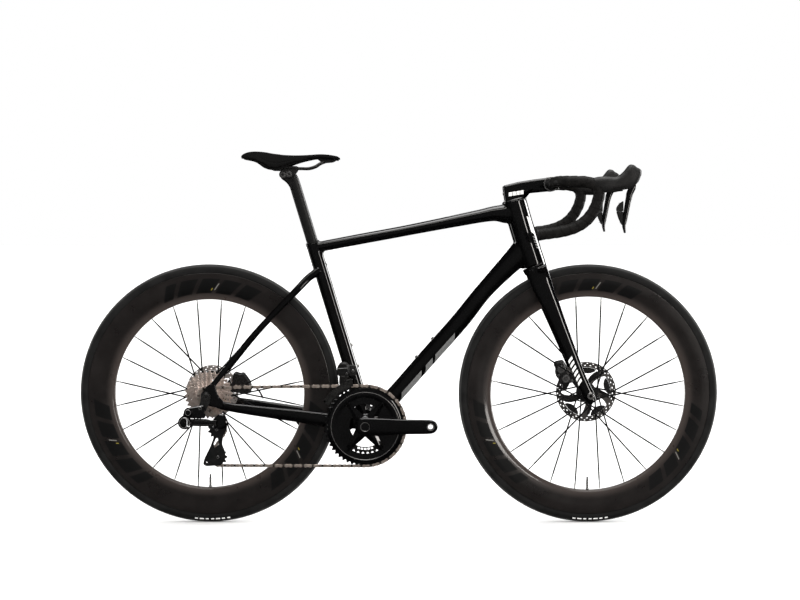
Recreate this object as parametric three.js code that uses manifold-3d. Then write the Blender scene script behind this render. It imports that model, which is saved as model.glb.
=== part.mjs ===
// Road bicycle with disc brakes, deep rims and an electronic two-by-twelve drivetrain.
// Millimetres. +X is forward, +Y is the rider's left, +Z is up. The drivetrain is on the -Y side.
// The origin is on the ground, midway between the two axles.
import * as THREE from 'three';
import { mergeVertices } from 'three/addons/utils/BufferGeometryUtils.js';
import Module from 'manifold-3d';

const wasm = await Module();
wasm.setup();

// ---------------------------------------------------------------- driving dimensions
const WHEEL_R = 340.5;          // outer radius of a 700 x 29C tyre
const AXLE_Z = WHEEL_R;
const WHEELBASE = 996;
const REAR_X = -WHEELBASE / 2;
const FRONT_X = WHEELBASE / 2;
const WHEEL_SEGMENTS = 36;
const RIM_R = 317;              // rim flange radius
const RIM_W = 14.2;             // half width at the flange
const RIM_NOSE_FRONT = 255;     // inner radius of the 62 mm deep front rim
const RIM_NOSE_REAR = 248;      // inner radius of the 69 mm deep rear rim
const TYRE_W = 14.6;            // half width of the tyre
const SPOKES = 24;
const FRONT_OLD = 100;          // front hub width between dropouts
const REAR_OLD = 142;           // rear hub width between dropouts
const AXLE_R = 6;               // 12 mm thru-axles
const ROTOR_FRONT_R = 80;
const ROTOR_REAR_R = 70;
const ROTOR_FRONT_Y = 39.6;
const ROTOR_REAR_Y = 55.5;
const BB_X = -87.7;
const BB_Z = 260.6;
const CRANK_LENGTH = 170;
const Q_HALF = 73;              // half of the 146 mm pedal-face spacing
const SPINDLE_R = 12;
const RING_OUT_Y = -48;
const RING_IN_Y = -41.5;
const PITCH = 12.7;             // chain pitch
const COG_Y = -64.5;            // plane of the smallest cog
const COG_STEP = 3.55;
const COGS = [11, 12, 13, 14, 15, 16, 17, 19, 21, 24, 27, 30];
const HEAD_A = [-0.2924, 0.9563];   // steering axis, up, in X and Z (73 degrees)
const HEAD_O = [456.7, 327.9];      // its point nearest the front axle
const HEAD_LOW = 365.2;         // head tube ends along the axis
const HEAD_TOP = 541.5;
const STEERER_R = 14.3;
const SEAT_D = [-0.2897, 0.9571];   // seat tube axis, up, in X and Z (73.2 degrees)
const SEAT_P = [-212.4, 692.1];
const SEAT_TOP = 47.5;          // seat tube mouth, along the axis from SEAT_P
const POST_A = 14.8;            // seatpost half depth
const POST_B = 11.5;            // seatpost half width
const BAR_R = 12;
const BAR_CLAMP_R = 15.9;
const TAPE_R = 15;
const HOOD_Y = 192;
const GAP = 0.3;

const pitchRadius = (teeth) => PITCH / (2 * Math.sin(Math.PI / teeth));

// ---------------------------------------------------------------- solids
function toSolid(geometry) {
  let g = geometry.clone();
  for (const name of Object.keys(g.attributes)) if (name !== 'position') g.deleteAttribute(name);
  g = mergeVertices(g, 1e-4);
  const p = g.attributes.position, index = Array.from(g.index.array), kept = [];
  for (let i = 0; i < index.length; i += 3) {
    const [a, b, c] = [index[i], index[i + 1], index[i + 2]];
    if (a !== b && b !== c && a !== c) kept.push(a, b, c);
  }
  let volume = 0;
  const v = (i) => new THREE.Vector3().fromBufferAttribute(p, i);
  for (let i = 0; i < kept.length; i += 3) volume += v(kept[i]).dot(v(kept[i + 1]).cross(v(kept[i + 2])));
  if (volume < 0) for (let i = 0; i < kept.length; i += 3) [kept[i], kept[i + 1]] = [kept[i + 1], kept[i]];
  return new wasm.Manifold(new wasm.Mesh({
    numProp: 3, vertProperties: new Float32Array(p.array), triVerts: new Uint32Array(kept),
  }));
}

function toGeometry(solid) {
  const mesh = solid.getMesh();
  const g = new THREE.BufferGeometry();
  const n = mesh.numProp, count = mesh.vertProperties.length / n, xyz = new Float32Array(count * 3);
  for (let i = 0; i < count; i++) for (let k = 0; k < 3; k++) xyz[3 * i + k] = mesh.vertProperties[n * i + k];
  g.setAttribute('position', new THREE.BufferAttribute(xyz, 3));
  g.setIndex(new THREE.BufferAttribute(new Uint32Array(mesh.triVerts), 1));
  g.computeVertexNormals();
  return g;
}

// An extruded outline whose points are then carried to a new place by where(u, v, step).
function warp(outline, steps, where) {
  const shape = new THREE.Shape(outline.map(([x, y]) => new THREE.Vector2(x, y)));
  const g = new THREE.ExtrudeGeometry(shape, { steps, depth: 1, bevelEnabled: false });
  const p = g.attributes.position;
  for (let i = 0; i < p.count; i++) {
    const q = where(p.getX(i), p.getY(i), Math.round(p.getZ(i) * steps));
    p.setXYZ(i, q[0], q[1], q[2]);
  }
  return toSolid(g);
}

function roundOutline(n, power = 2, phase = 0.5) {
  return Array.from({ length: n }, (_, i) => {
    const t = (i + phase) / n * 2 * Math.PI, c = Math.cos(t), s = Math.sin(t);
    return [Math.sign(c) * Math.abs(c) ** (2 / power), Math.sign(s) * Math.abs(s) ** (2 / power)];
  });
}

// A tube whose centre runs near the XZ plane. Each station is [x, z, half depth, half width, y].
function planar(stations, n = 12, power = 2.4) {
  const m = stations.length - 1, frames = stations.map((s, i) => {
    const a = stations[Math.max(0, i - 1)], b = stations[Math.min(m, i + 1)];
    const t = new THREE.Vector2(b[0] - a[0], b[1] - a[1]).normalize();
    return [-t.y, t.x];
  });
  return warp(roundOutline(n, power), m, (u, v, j) => {
    const s = stations[j], f = frames[j];
    return [s[0] + f[0] * u * s[2], (s[4] || 0) + v * s[3], s[1] + f[1] * u * s[2]];
  });
}

// A tube of round or oval section through points in space.
function sweep(points, radius, n = 8, up = new THREE.Vector3(0, 0, 1)) {
  const pts = points.map((p) => new THREE.Vector3(...p)), m = pts.length - 1;
  let side = null;
  const frames = pts.map((p, i) => {
    const t = pts[Math.min(m, i + 1)].clone().sub(pts[Math.max(0, i - 1)]).normalize();
    const ref = side || up.clone();
    const b = ref.clone().sub(t.clone().multiplyScalar(ref.dot(t))).normalize();
    side = b;
    return [b, t.clone().cross(b)];
  });
  return warp(roundOutline(n), m, (u, v, j) => {
    const r = typeof radius === 'function' ? radius(j, m) : radius, [b, c] = frames[j];
    return pts[j].clone().addScaledVector(b, u * r).addScaledVector(c, v * r).toArray();
  });
}

// Smooth points along a curve through the given ones.
function smooth(points, count) {
  return new THREE.CatmullRomCurve3(points.map((p) => new THREE.Vector3(...p)), false, 'centripetal')
    .getSpacedPoints(count).map((p) => p.toArray());
}

function cylinder(a, b, r, n = 16, r2 = r) {
  const p = new THREE.Vector3(...a), q = new THREE.Vector3(...b), d = q.clone().sub(p);
  const g = new THREE.CylinderGeometry(r2, r, d.length(), n);
  g.rotateY(Math.PI / n);
  g.applyQuaternion(new THREE.Quaternion().setFromUnitVectors(new THREE.Vector3(0, 1, 0), d.clone().normalize()));
  g.translate((p.x + q.x) / 2, (p.y + q.y) / 2, (p.z + q.z) / 2);
  return toSolid(g);
}

function box(x0, x1, y0, y1, z0, z1) {
  const g = new THREE.BoxGeometry(x1 - x0, y1 - y0, z1 - z0);
  g.translate((x0 + x1) / 2, (y0 + y1) / 2, (z0 + z1) / 2);
  return toSolid(g);
}

// A ring or disc about an axis parallel to Y: profile points are [radius, y].
function turned(profile, x, z, n = 24) {
  const closed = profile.concat([profile[0]]).map(([r, y]) => new THREE.Vector2(r, y));
  const g = new THREE.LatheGeometry(closed, n, Math.PI / n);
  g.translate(x, 0, z);
  return toSolid(g);
}

// A plate lying in an XZ plane, from y0 to y1, with the given outline and holes of [x, z] points.
function plate(outline, holes, y0, y1) {
  const shape = new THREE.Shape(outline.map(([x, z]) => new THREE.Vector2(x, z)));
  for (const h of holes) shape.holes.push(new THREE.Path(h.map(([x, z]) => new THREE.Vector2(x, z))));
  const g = new THREE.ExtrudeGeometry(shape, { steps: 1, depth: y1 - y0, bevelEnabled: false });
  g.rotateX(Math.PI / 2);
  g.translate(0, y1, 0);
  return toSolid(g);
}

const circle = (x, z, r, n, phase = 0.5) => Array.from({ length: n }, (_, i) => {
  const t = (i + phase) / n * 2 * Math.PI;
  return [x + r * Math.cos(t), z + r * Math.sin(t)];
});

const union = (...solids) => solids.reduce((a, b) => a.add(b));
const mirrorY = (solid) => solid.mirror([0, 1, 0]);
// a point at a given distance along the steering axis and ahead of it
const steer = (along, ahead, y = 0) => [
  HEAD_O[0] + HEAD_A[0] * along + HEAD_A[1] * ahead, y, HEAD_O[1] + HEAD_A[1] * along - HEAD_A[0] * ahead];
const seatAt = (along, ahead = 0, y = 0) => [
  SEAT_P[0] + SEAT_D[0] * along + SEAT_D[1] * ahead, y, SEAT_P[1] + SEAT_D[1] * along - SEAT_D[0] * ahead];

// ---------------------------------------------------------------- materials and nodes
const material = (color, roughness, metalness) => new THREE.MeshStandardMaterial({ color, roughness, metalness });
const GLOSS_BLACK = material(0x0a0a0b, 0.12, 0.2);
const MATTE_BLACK = material(0x141415, 0.6, 0.1);
const RIM_BROWN = material(0x2a2522, 0.35, 0.2);
const RUBBER = material(0x17171a, 0.85, 0);
const TAPE = material(0x1c1b1b, 0.8, 0);
const STEEL = material(0x9b8f8a, 0.35, 1);
const BRONZE = material(0xb09a8c, 0.35, 1);
const GRAPHITE = material(0x202022, 0.3, 0.6);
const SPOKE = material(0x19191b, 0.4, 0.7);

const bicycle = new THREE.Group();
const frameGroup = new THREE.Group(), steeringGroup = new THREE.Group(), wheelGroup = new THREE.Group();
const driveGroup = new THREE.Group(), saddleGroup = new THREE.Group();
bicycle.add(frameGroup, steeringGroup, wheelGroup, driveGroup, saddleGroup);

function node(group, name, solid, mat) {
  if (solid.decompose().length !== 1) {
    const parts = solid.decompose().map((s) => s.volume()).sort((a, b) => b - a);
    throw new Error(`${name} has ${parts.length} bodies: ${parts.slice(0, 6).map((v) => v.toFixed(3))}`);
  }
  const mesh = new THREE.Mesh(toGeometry(solid), mat);
  mesh.name = name;
  group.add(mesh);
  return solid;
}

// ---------------------------------------------------------------- front triangle
const DOWN_TUBE = [
  [-76, 266, 24, 29], [3.8, 353.9, 22, 24], [85.5, 446.8, 22.8, 22], [167.3, 539.6, 23, 21.5],
  [218.3, 604.5, 22, 21.5], [281, 672, 26, 22], [331, 722, 33, 23]];
const TOP_TUBE = [
  [-222, 724, 13, 14], [-180.5, 731.9, 13.7, 17], [-101.8, 746.9, 13.7, 20], [3, 766.2, 13.7, 21.5],
  [107.8, 786.6, 14.8, 22], [160.2, 796.9, 16, 22], [212.5, 807.1, 17.2, 22.5], [251.8, 813.8, 20, 23],
  [285, 814, 26, 24], [312, 818, 27, 24]];
const seatStation = (along, a, b) => { const p = seatAt(along); return [p[0], p[2], a, b]; };
const SEAT_TUBE = [
  seatStation(SEAT_TOP, 18.4, 15.2), seatStation(-20, 18.4, 15.2), seatStation(-180, 18.3, 15.2),
  seatStation(-330, 18.6, 17), seatStation(-430, 20, 24)];
const headStation = (along, front, rear, half) => {
  const p = steer(along, (front + rear) / 2); return [p[0], p[2], (front - rear) / 2, half];
};
const HEAD_TUBE = [
  headStation(HEAD_LOW, 36.5, -28, 29.5), headStation(420, 35, -29, 29), headStation(480, 34.5, -29, 28.5),
  headStation(HEAD_TOP, 35.5, -29, 28.5)];

const postBore = (grow) => planar([
  seatStation(SEAT_TOP + 20, POST_A + grow, POST_B + grow), seatStation(SEAT_TOP - 265, POST_A + grow, POST_B + grow)], 12, 2.3);
const bottomBracket = cylinder([BB_X, -43, BB_Z], [BB_X, 43, BB_Z], 27, 24);
let mainFrame = union(planar(DOWN_TUBE, 10, 2.6), planar(TOP_TUBE, 10, 2.6), planar(SEAT_TUBE, 12, 2.4),
  planar(HEAD_TUBE, 14, 2.2), bottomBracket);
// the tubes end flush with the seat tube mouth and the head tube's two faces
const halfSpace = (solid, normal, point) => solid.trimByPlane(normal, new THREE.Vector3(...normal).dot(new THREE.Vector3(...point)));
mainFrame = mainFrame
  .subtract(planar([headStation(HEAD_TOP, 90, -75, 60), headStation(HEAD_TOP + 60, 90, -75, 60)], 4, 60))
  .subtract(planar([headStation(HEAD_LOW - 60, 90, -31, 60), headStation(HEAD_LOW, 90, -31, 60)], 4, 60))
  .subtract(planar([seatStation(SEAT_TOP, 60, 60), seatStation(SEAT_TOP + 60, 60, 60)], 4, 60));
mainFrame = mainFrame
  .subtract(cylinder(steer(HEAD_LOW - 10, 0), steer(HEAD_TOP + 10, 0), 17, 16))
  .subtract(cylinder(steer(HEAD_LOW - 10, 0), steer(HEAD_LOW + 8, 0), 25.4, 16))
  .subtract(cylinder(steer(HEAD_TOP - 8, 0), steer(HEAD_TOP + 10, 0), 25.4, 16))
  .subtract(cylinder([BB_X, -60, BB_Z], [BB_X, 60, BB_Z], 15, 20))
  .subtract(postBore(GAP));
node(frameGroup, 'main_frame', mainFrame, GLOSS_BLACK);

node(frameGroup, 'headset_bearing_lower', cylinder(steer(HEAD_LOW + 0.3, 0), steer(HEAD_LOW + 7.6, 0), 25, 16)
  .subtract(cylinder(steer(HEAD_LOW - 5, 0), steer(HEAD_LOW + 20, 0), 14.9, 16)), STEEL);
node(frameGroup, 'headset_bearing_upper', cylinder(steer(HEAD_TOP - 7.6, 0), steer(HEAD_TOP - 0.3, 0), 25, 16)
  .subtract(cylinder(steer(HEAD_TOP - 20, 0), steer(HEAD_TOP + 5, 0), 14.9, 16)), STEEL);
for (const [name, s] of [['bottom_bracket_cup_right', -1], ['bottom_bracket_cup_left', 1]]) {
  const profile = [[12.4, 43.3], [21.5, 43.3], [21.5, 46.2], [19.5, 47.2], [12.4, 47.2]];
  const cup = turned(profile, BB_X, BB_Z, 20);
  node(frameGroup, name, s > 0 ? cup : mirrorY(cup), GRAPHITE);
}
// the wedge sits in a pocket behind the top tube, between the seat tube wall and the post
const wedge = planar([seatStation(SEAT_TOP + 2.4, 17.8, 14.6), seatStation(SEAT_TOP + 0.4, 18.4, 15.2)], 12, 2.4)
  .subtract(postBore(GAP));
node(frameGroup, 'seatpost_wedge', wedge, MATTE_BLACK);

// ---------------------------------------------------------------- rear triangle
const DROP_IN = REAR_OLD / 2 + 0.3, DROP_OUT = REAR_OLD / 2 + 8;
const CHAIN_STAY = [
  [-122, 267, 20, 12, 20], [-140, 269, 19.5, 8.5, 30], [-195, 274.6, 18.5, 8, 31], [-260, 285, 16.5, 8, 39],
  [-320, 294, 15, 8, 49], [-400, 306, 12.5, 7, 62], [-443, 313.4, 11, 6.5, 68.5], [-468, 321, 11, 4.6, 74],
  [-486, 331, 12, 3.8, 75.1]];
const SEAT_STAY = [
  [-206, 667, 11, 9, 8], [-237, 645, 9.5, 8, 14], [-262, 619.5, 9, 6.5, 23.5], [-290, 590, 8.5, 6, 29.5],
  [-379, 496, 7.5, 5.5, 50], [-440, 421, 7, 5, 63.5], [-470, 384, 7, 4, 72], [-490, 358, 8, 3.8, 75.1]];
const dropout = plate([
  [-513, 334], [-510.5, 349], [-500, 366], [-486, 374], [-474, 368], [-470, 350], [-462, 336], [-452, 327],
  [-455, 308], [-478, 313], [-503, 321]], [], DROP_IN, DROP_OUT);
const yoke = box(-136, -112, -27, 27, 250, 288);
let left = union(planar(CHAIN_STAY, 8, 2.6), planar(SEAT_STAY, 8, 2.6), dropout);
let rearTriangle = union(left, mirrorY(left), yoke)
  .subtract(planar([seatStation(SEAT_TOP, 18.8, 15.6), seatStation(-20, 18.8, 15.6), seatStation(-180, 18.7, 15.6),
    seatStation(-330, 19, 17.4), seatStation(-430, 20.4, 24.4)], 12, 2.4))
  .subtract(cylinder([BB_X, -60, BB_Z], [BB_X, 60, BB_Z], 27.4, 24))
  .subtract(planar([[-76 - 40, 266 - 44, 24.4, 29.4]].concat(DOWN_TUBE.slice(0, 2).map((s) => [s[0], s[1], s[2] + 0.4, s[3] + 0.4])), 12, 2.6))
  .subtract(cylinder([REAR_X, -90, AXLE_Z], [REAR_X, 90, AXLE_Z], 6.4, 16))
  .subtract(turned([[5, -70.9], [345, -16.5], [345, 16.5], [5, 70.9]], REAR_X, AXLE_Z, 48)
    .intersect(box(-250, -100, -19.5, 19.5, 150, 700)));
{
  const bodies = rearTriangle.decompose().sort((a, b) => b.volume() - a.volume());
  rearTriangle = bodies[0];
}
node(frameGroup, 'rear_triangle', rearTriangle, GLOSS_BLACK);

const rearAxle = union(cylinder([REAR_X, -82.6, AXLE_Z], [REAR_X, 80, AXLE_Z], AXLE_R, 16),
  cylinder([REAR_X, DROP_OUT + GAP, AXLE_Z], [REAR_X, DROP_OUT + 4, AXLE_Z], 9.5, 16));
node(frameGroup, 'rear_thru_axle', rearAxle, GRAPHITE);
node(frameGroup, 'derailleur_hanger', plate([
  [-486, 341], [-490, 350], [-498, 354], [-507, 350], [-511, 341], [-514, 322], [-520, 308], [-514, 299], [-503, 299],
  [-496, 309], [-489, 325]], [circle(REAR_X, AXLE_Z, 6.4, 16)], -DROP_OUT - 4.2, -DROP_OUT - GAP), GRAPHITE);

// ---------------------------------------------------------------- fork
const forkStation = (along, ahead, a, b, y) => { const p = steer(along, ahead); return [p[0], p[2], a, b, y]; };
const BLADE = [
  forkStation(356, 7, 28, 9, 22), forkStation(330, 7.5, 27.6, 9, 28.5), forkStation(307, 8.5, 26.5, 9, 31),
  forkStation(250, 15, 22.3, 8.5, 37.5), forkStation(180, 21.2, 18.8, 7.5, 45), forkStation(111, 27.5, 16, 6.3, 51.2),
  forkStation(60, 32, 14.6, 5.8, 55), forkStation(10, 38.5, 15, 5.8, 56.3), forkStation(-17, 44, 11, 5.4, 56.3)];
const blade = planar(BLADE, 8, 2.6);
let fork = union(
  halfSpace(planar([forkStation(HEAD_LOW + 3, 4.2, 32, 29.3, 0), forkStation(352, 6, 30.5, 30, 0), forkStation(345.5, 7, 28, 29, 0)], 14, 2.3),
    [-HEAD_A[0], 0, -HEAD_A[1]], steer(HEAD_LOW - GAP, 0)),
  blade, mirrorY(blade), cylinder(steer(350, 0), steer(584, 0), STEERER_R, 16));
fork = fork.subtract(cylinder([FRONT_X, -90, AXLE_Z], [FRONT_X, 90, AXLE_Z], 6.4, 16))
  .subtract(turned([[280, -18.5], [346, -18.5], [346, 18.5], [280, 18.5]], FRONT_X, AXLE_Z, 48));
{
  const bodies = fork.decompose().sort((a, b) => b.volume() - a.volume());
  fork = bodies[0];
}
node(steeringGroup, 'fork', fork, GLOSS_BLACK);
node(steeringGroup, 'front_thru_axle', union(
  cylinder([FRONT_X, -65, AXLE_Z], [FRONT_X, 62.6, AXLE_Z], AXLE_R, 16),
  cylinder([FRONT_X, -66, AXLE_Z], [FRONT_X, -62.5, AXLE_Z], 9.5, 16)), GRAPHITE);

// ---------------------------------------------------------------- cockpit
node(steeringGroup, 'headset_cover', halfSpace(halfSpace(planar([headStation(HEAD_TOP - 2, 35, -28.5, 28), headStation(HEAD_TOP + 8, 31, -26, 25)], 14, 2.2),
  [-HEAD_A[0], 0, -HEAD_A[1]], steer(HEAD_TOP + 5.3, 0)), [HEAD_A[0], 0, HEAD_A[1]], steer(HEAD_TOP + GAP, 0))
  .subtract(cylinder(steer(HEAD_TOP - 20, 0), steer(HEAD_TOP + 20, 0), 14.8, 20)), GLOSS_BLACK);

const BAR_C = [396.5, 890.6];
const stemFoot = steer(HEAD_TOP + 5.6, 0);
const stemSide = [
  [271.5, 880], [274.5, 887], [310.9, 896.2], [352, 902.8], [398, 908.6], [408, 906.5], [414, 899], [415.5, 886],
  [411.5, 876], [403, 872.6], [336, 866.2], [331, 862.5], [335, 846], [279, 830]];
let stem = plate(stemSide, [], -18, 18);
stem = union(stem, cylinder([BAR_C[0], -24, BAR_C[1]], [BAR_C[0], 24, BAR_C[1]], 19, 20));
stem = halfSpace(stem, [HEAD_A[0], 0, HEAD_A[1]], stemFoot)
  .subtract(cylinder(steer(500, 0), steer(590, 0), 14.7, 16))
  .subtract(cylinder([BAR_C[0], -40, BAR_C[1]], [BAR_C[0], 40, BAR_C[1]], BAR_CLAMP_R + 0.5, 20));
node(steeringGroup, 'stem', stem, GLOSS_BLACK);

// handlebar: the right half runs from the clamp to the end of the drop
const BAR_PATH = [
  [BAR_C[0], 0, BAR_C[1]], [BAR_C[0], -30, BAR_C[1]], [BAR_C[0], -60, BAR_C[1]], [397, -110, 891.5], [399, -145, 892.5],
  [407, -168, 893], [424, -182, 893], [446, -188, 892.5], [470, -190.5, 891], [489, -191.5, 884], [498.5, -192.3, 868], [496.7, -193, 848],
  [490, -194.5, 829], [479, -196, 810], [462, -198, 792], [438, -199.5, 778], [410, -200.5, 769.5], [378, -201, 764.5], [349, -201.5, 760.5]];
const barRight = BAR_PATH.slice(1);
const barAll = barRight.slice().reverse().concat([BAR_PATH[0]], barRight.map(([x, y, z]) => [x, -y, z]));
const clampHalf = Math.floor(barAll.length / 2);
node(steeringGroup, 'handlebar', sweep(barAll, (j) => (Math.abs(j - clampHalf) <= 1 ? BAR_CLAMP_R : BAR_R), 8), MATTE_BLACK);

const mirrorName = { right: -1, left: 1 };
const tapePath = BAR_PATH.slice(3);
function inflatedBar(radius, extend = 0) {
  const path = tapePath.slice();
  if (extend) {
    const a = path[0], b = path[path.length - 1], c = path[path.length - 2];
    const d = new THREE.Vector3(b[0] - c[0], b[1] - c[1], b[2] - c[2]).normalize().multiplyScalar(extend);
    path.unshift([a[0], a[1] + extend, a[2]]);
    path.push([b[0] + d.x, b[1] + d.y, b[2] + d.z]);
  }
  return sweep(path, radius, 8, new THREE.Vector3(0, 0, 1));
}
const tapeRight = inflatedBar(TAPE_R).subtract(inflatedBar(BAR_R + 1.15, 6));
const tapeHull = inflatedBar(TAPE_R + 0.35, 3);
const barEnd = BAR_PATH[BAR_PATH.length - 1], barPrev = BAR_PATH[BAR_PATH.length - 2];
const endDir = new THREE.Vector3(barEnd[0] - barPrev[0], barEnd[1] - barPrev[1], barEnd[2] - barPrev[2]).normalize();
const along = (d) => new THREE.Vector3(...barEnd).addScaledVector(endDir, d).toArray();
const plugRight = cylinder(along(0.4), along(6.5), 15, 16, 13.2);

const HOOD = [
  [488, 887, 17, 14], [500, 886, 20, 15.5], [515, 885.5, 20.5, 16], [543, 886, 19, 15], [558, 893, 24, 15.5], [576, 903, 32, 15.5],
  [592, 905.5, 23, 13.5], [603.5, 914, 7, 8]];
let hoodRight = warp(roundOutline(12, 2.6), HOOD.length - 1, (u, v, j) => {
  const s = HOOD[j]; return [s[0], -HOOD_Y + v * s[3], s[1] + u * s[2]];
}).subtract(tapeHull).subtract(box(557, 620, -HOOD_Y - 8.6, -HOOD_Y + 8.6, 850, 891));
{
  const bodies = hoodRight.decompose().sort((a, b) => b.volume() - a.volume());
  hoodRight = bodies[0];
}
const LEVER_PIVOT = [588, 884];
const LEVER = [
  [588, 886, 4.5, 6.5], [583, 878, 8, 7.5], [576, 864, 8.5, 7], [573, 850, 7.6, 6.5], [568.5, 825, 7, 6.5], [564, 800, 6.5, 6.5],
  [561.8, 783, 4.6, 6], [564.2, 765.5, 2.6, 4.5]];
const leverRight = planar(LEVER.map((s) => [...s, -HOOD_Y]), 8, 2.4);
const upperButton = plate([[561.8, 846], [549, 839], [541.5, 828], [541.5, 819], [559, 819]], [], -HOOD_Y - 6.5, -HOOD_Y + 3)
  .subtract(planar(LEVER.map((s) => [s[0], s[1], s[2] + 1.2, s[3] + 0.8, -HOOD_Y]), 8, 2.4));
const lowerButton = plate([[560, 818], [542, 818], [546.5, 802], [555, 785], [560, 783]], [], -HOOD_Y - 6.5, -HOOD_Y + 3)
  .subtract(planar(LEVER.map((s) => [s[0], s[1], s[2] + 1.2, s[3] + 0.8, -HOOD_Y]), 8, 2.4));
const biggest = (solid) => solid.decompose().sort((a, b) => b.volume() - a.volume())[0];
for (const side of ['right', 'left']) {
  const put = (name, solid, mat) => node(steeringGroup, `${name}_${side}`, side === 'right' ? solid : mirrorY(solid), mat);
  put('bar_tape', tapeRight, TAPE);
  put('bar_end_plug', plugRight, MATTE_BLACK);
  put('hood', hoodRight, MATTE_BLACK);
  put('brake_lever', leverRight, GLOSS_BLACK);
  put('shift_button_upper', biggest(upperButton), MATTE_BLACK);
  put('shift_button_lower', biggest(lowerButton), MATTE_BLACK);
}

// ---------------------------------------------------------------- brakes
const caliperBox = (a0, a1, h0, h1, y0, y1) => {
  const corner = (s, h) => { const p = steer(s, h); return [p[0], p[2]]; };
  return plate([corner(a0, h0 + 5), corner(a0, h1), corner(a1, h1 - 3), corner(a1, h0 + 2), corner((a0 + a1) / 2, h0)], [], y0, y1);
};
node(steeringGroup, 'front_caliper', caliperBox(34, 99, -17, 15, 25, 56)
  .subtract(turned([[20, 37.6], [82, 37.6], [82, 41.6], [20, 41.6]], FRONT_X, AXLE_Z, 32))
  .subtract(planar(BLADE.map((s) => [s[0], s[1], s[2] + 0.5, s[3] + 0.5, s[4]]), 10, 2.6)), GRAPHITE);
const rearCaliper = plate([[-449, 352], [-444, 385], [-436, 393], [-424, 388], [-414, 391], [-397, 368], [-392, 349], [-398, 331], [-452, 338]], [], 42, 70)
  .subtract(turned([[20, 53.4], [72, 53.4], [72, 57.6], [20, 57.6]], REAR_X, AXLE_Z, 32))
  .subtract(planar(CHAIN_STAY.map((s) => [s[0], s[1], s[2] + 0.5, s[3] + 0.5, s[4]]), 10, 2.6))
  .subtract(planar(SEAT_STAY.map((s) => [s[0], s[1], s[2] + 0.5, s[3] + 0.5, s[4]]), 10, 2.6));
node(frameGroup, 'rear_caliper', biggest(rearCaliper), GRAPHITE);
node(frameGroup, 'rear_brake_hose', sweep(smooth([[-391.4, 60, 352], [-384, 60, 350], [-375, 59, 342], [-368, 57.2, 331], [-362, 55.5, 319.5]], 7), 2.4, 6)
  .subtract(planar(CHAIN_STAY.map((s) => [s[0], s[1], s[2] + 0.5, s[3] + 0.5, s[4]]), 10, 2.6)), MATTE_BLACK);

// ---------------------------------------------------------------- wheels
const flatR = (r, n) => r / Math.cos(Math.PI / n);   // the flats, not the corners, touch the ground
function tyre(x) {
  const n = WHEEL_SEGMENTS, R = flatR(WHEEL_R, n);
  return turned([
    [R, -5], [R, 5], [R - 5, 11], [R - 13, TYRE_W], [RIM_R + 1.8, 11], [RIM_R - 3, 10.2],
    [RIM_R - 3, -10.2], [RIM_R + 1.8, -11], [R - 13, -TYRE_W], [R - 5, -11]], x, AXLE_Z, n);
}
function rim(x, nose) {
  const n = WHEEL_SEGMENTS;
  return turned([
    [RIM_R + 0.6, RIM_W - 0.6], [RIM_R + 0.6, 11.6], [RIM_R - 3.8, 11], [RIM_R - 3.8, -11], [RIM_R + 0.6, -11.6], [RIM_R + 0.6, -RIM_W + 0.6],
    [RIM_R - 18, -RIM_W - 0.4], [nose + 22, -11.4], [nose, -4], [nose, 4], [nose + 22, 11.4], [RIM_R - 18, RIM_W + 0.4]],
  x, AXLE_Z, n);
}
// Spokes leave each flange at a tangent and cross their neighbours twice. Their heads sit in two
// flange rings joined by the hub's outer sleeve, which makes the set one solid.
function spokes(x, flangeRight, flangeLeft, ringR, nose) {
  const parts = [turned([
    [12.5, flangeRight - 2], [ringR + 2, flangeRight - 2], [ringR + 2, flangeRight + 2], [13.6, flangeRight + 2],
    [13.6, flangeLeft - 2], [ringR + 2, flangeLeft - 2], [ringR + 2, flangeLeft + 2], [12.5, flangeLeft + 2]], x, AXLE_Z, 16)];
  for (let i = 0; i < SPOKES; i++) {
    const a = (7.5 + 15 * i) * Math.PI / 180, onLeft = i % 2 === 0, lead = Math.floor(i / 2) % 2 ? 1 : -1;
    const end = nose - 1.7, h = a + lead * Math.acos(ringR / end);
    const y = (onLeft ? flangeLeft : flangeRight) + lead * 1.1;
    const p = [x + ringR * Math.cos(h), y, AXLE_Z + ringR * Math.sin(h)];
    const q = [x + end * Math.cos(a), (onLeft ? 1.2 : -1.2) + lead * 0.9, AXLE_Z + end * Math.sin(a)];
    parts.push(cylinder(p, q, 1.0, 4));
  }
  return union(...parts);
}
function rotor(x, y, R) {
  const windows = [];
  const n = 8, track = R - 15, core = 33;
  for (let i = 0; i < n; i++) {
    const c = (i / n) * 2 * Math.PI, half = Math.PI / n - 0.13;
    const w = [];
    for (const t of [-half, 0, half]) w.push([x + track * Math.cos(c + t), AXLE_Z + track * Math.sin(c + t)]);
    for (const t of [half - 0.08, 0, -half + 0.08]) w.push([x + core * Math.cos(c + t), AXLE_Z + core * Math.sin(c + t)]);
    windows.push(w);
  }
  return plate(circle(x, AXLE_Z, R, 28), [circle(x, AXLE_Z, 18, 12), ...windows], y - 0.9, y + 0.9);
}
function valve(x, nose) {
  return union(cylinder([x, 0, AXLE_Z - nose + 1.8], [x, 0, AXLE_Z - nose + 24], 3, 10), cylinder([x, 0, AXLE_Z - nose + 23], [x, 0, AXLE_Z - nose + 34], 2.6, 10, 2));
}
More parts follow.
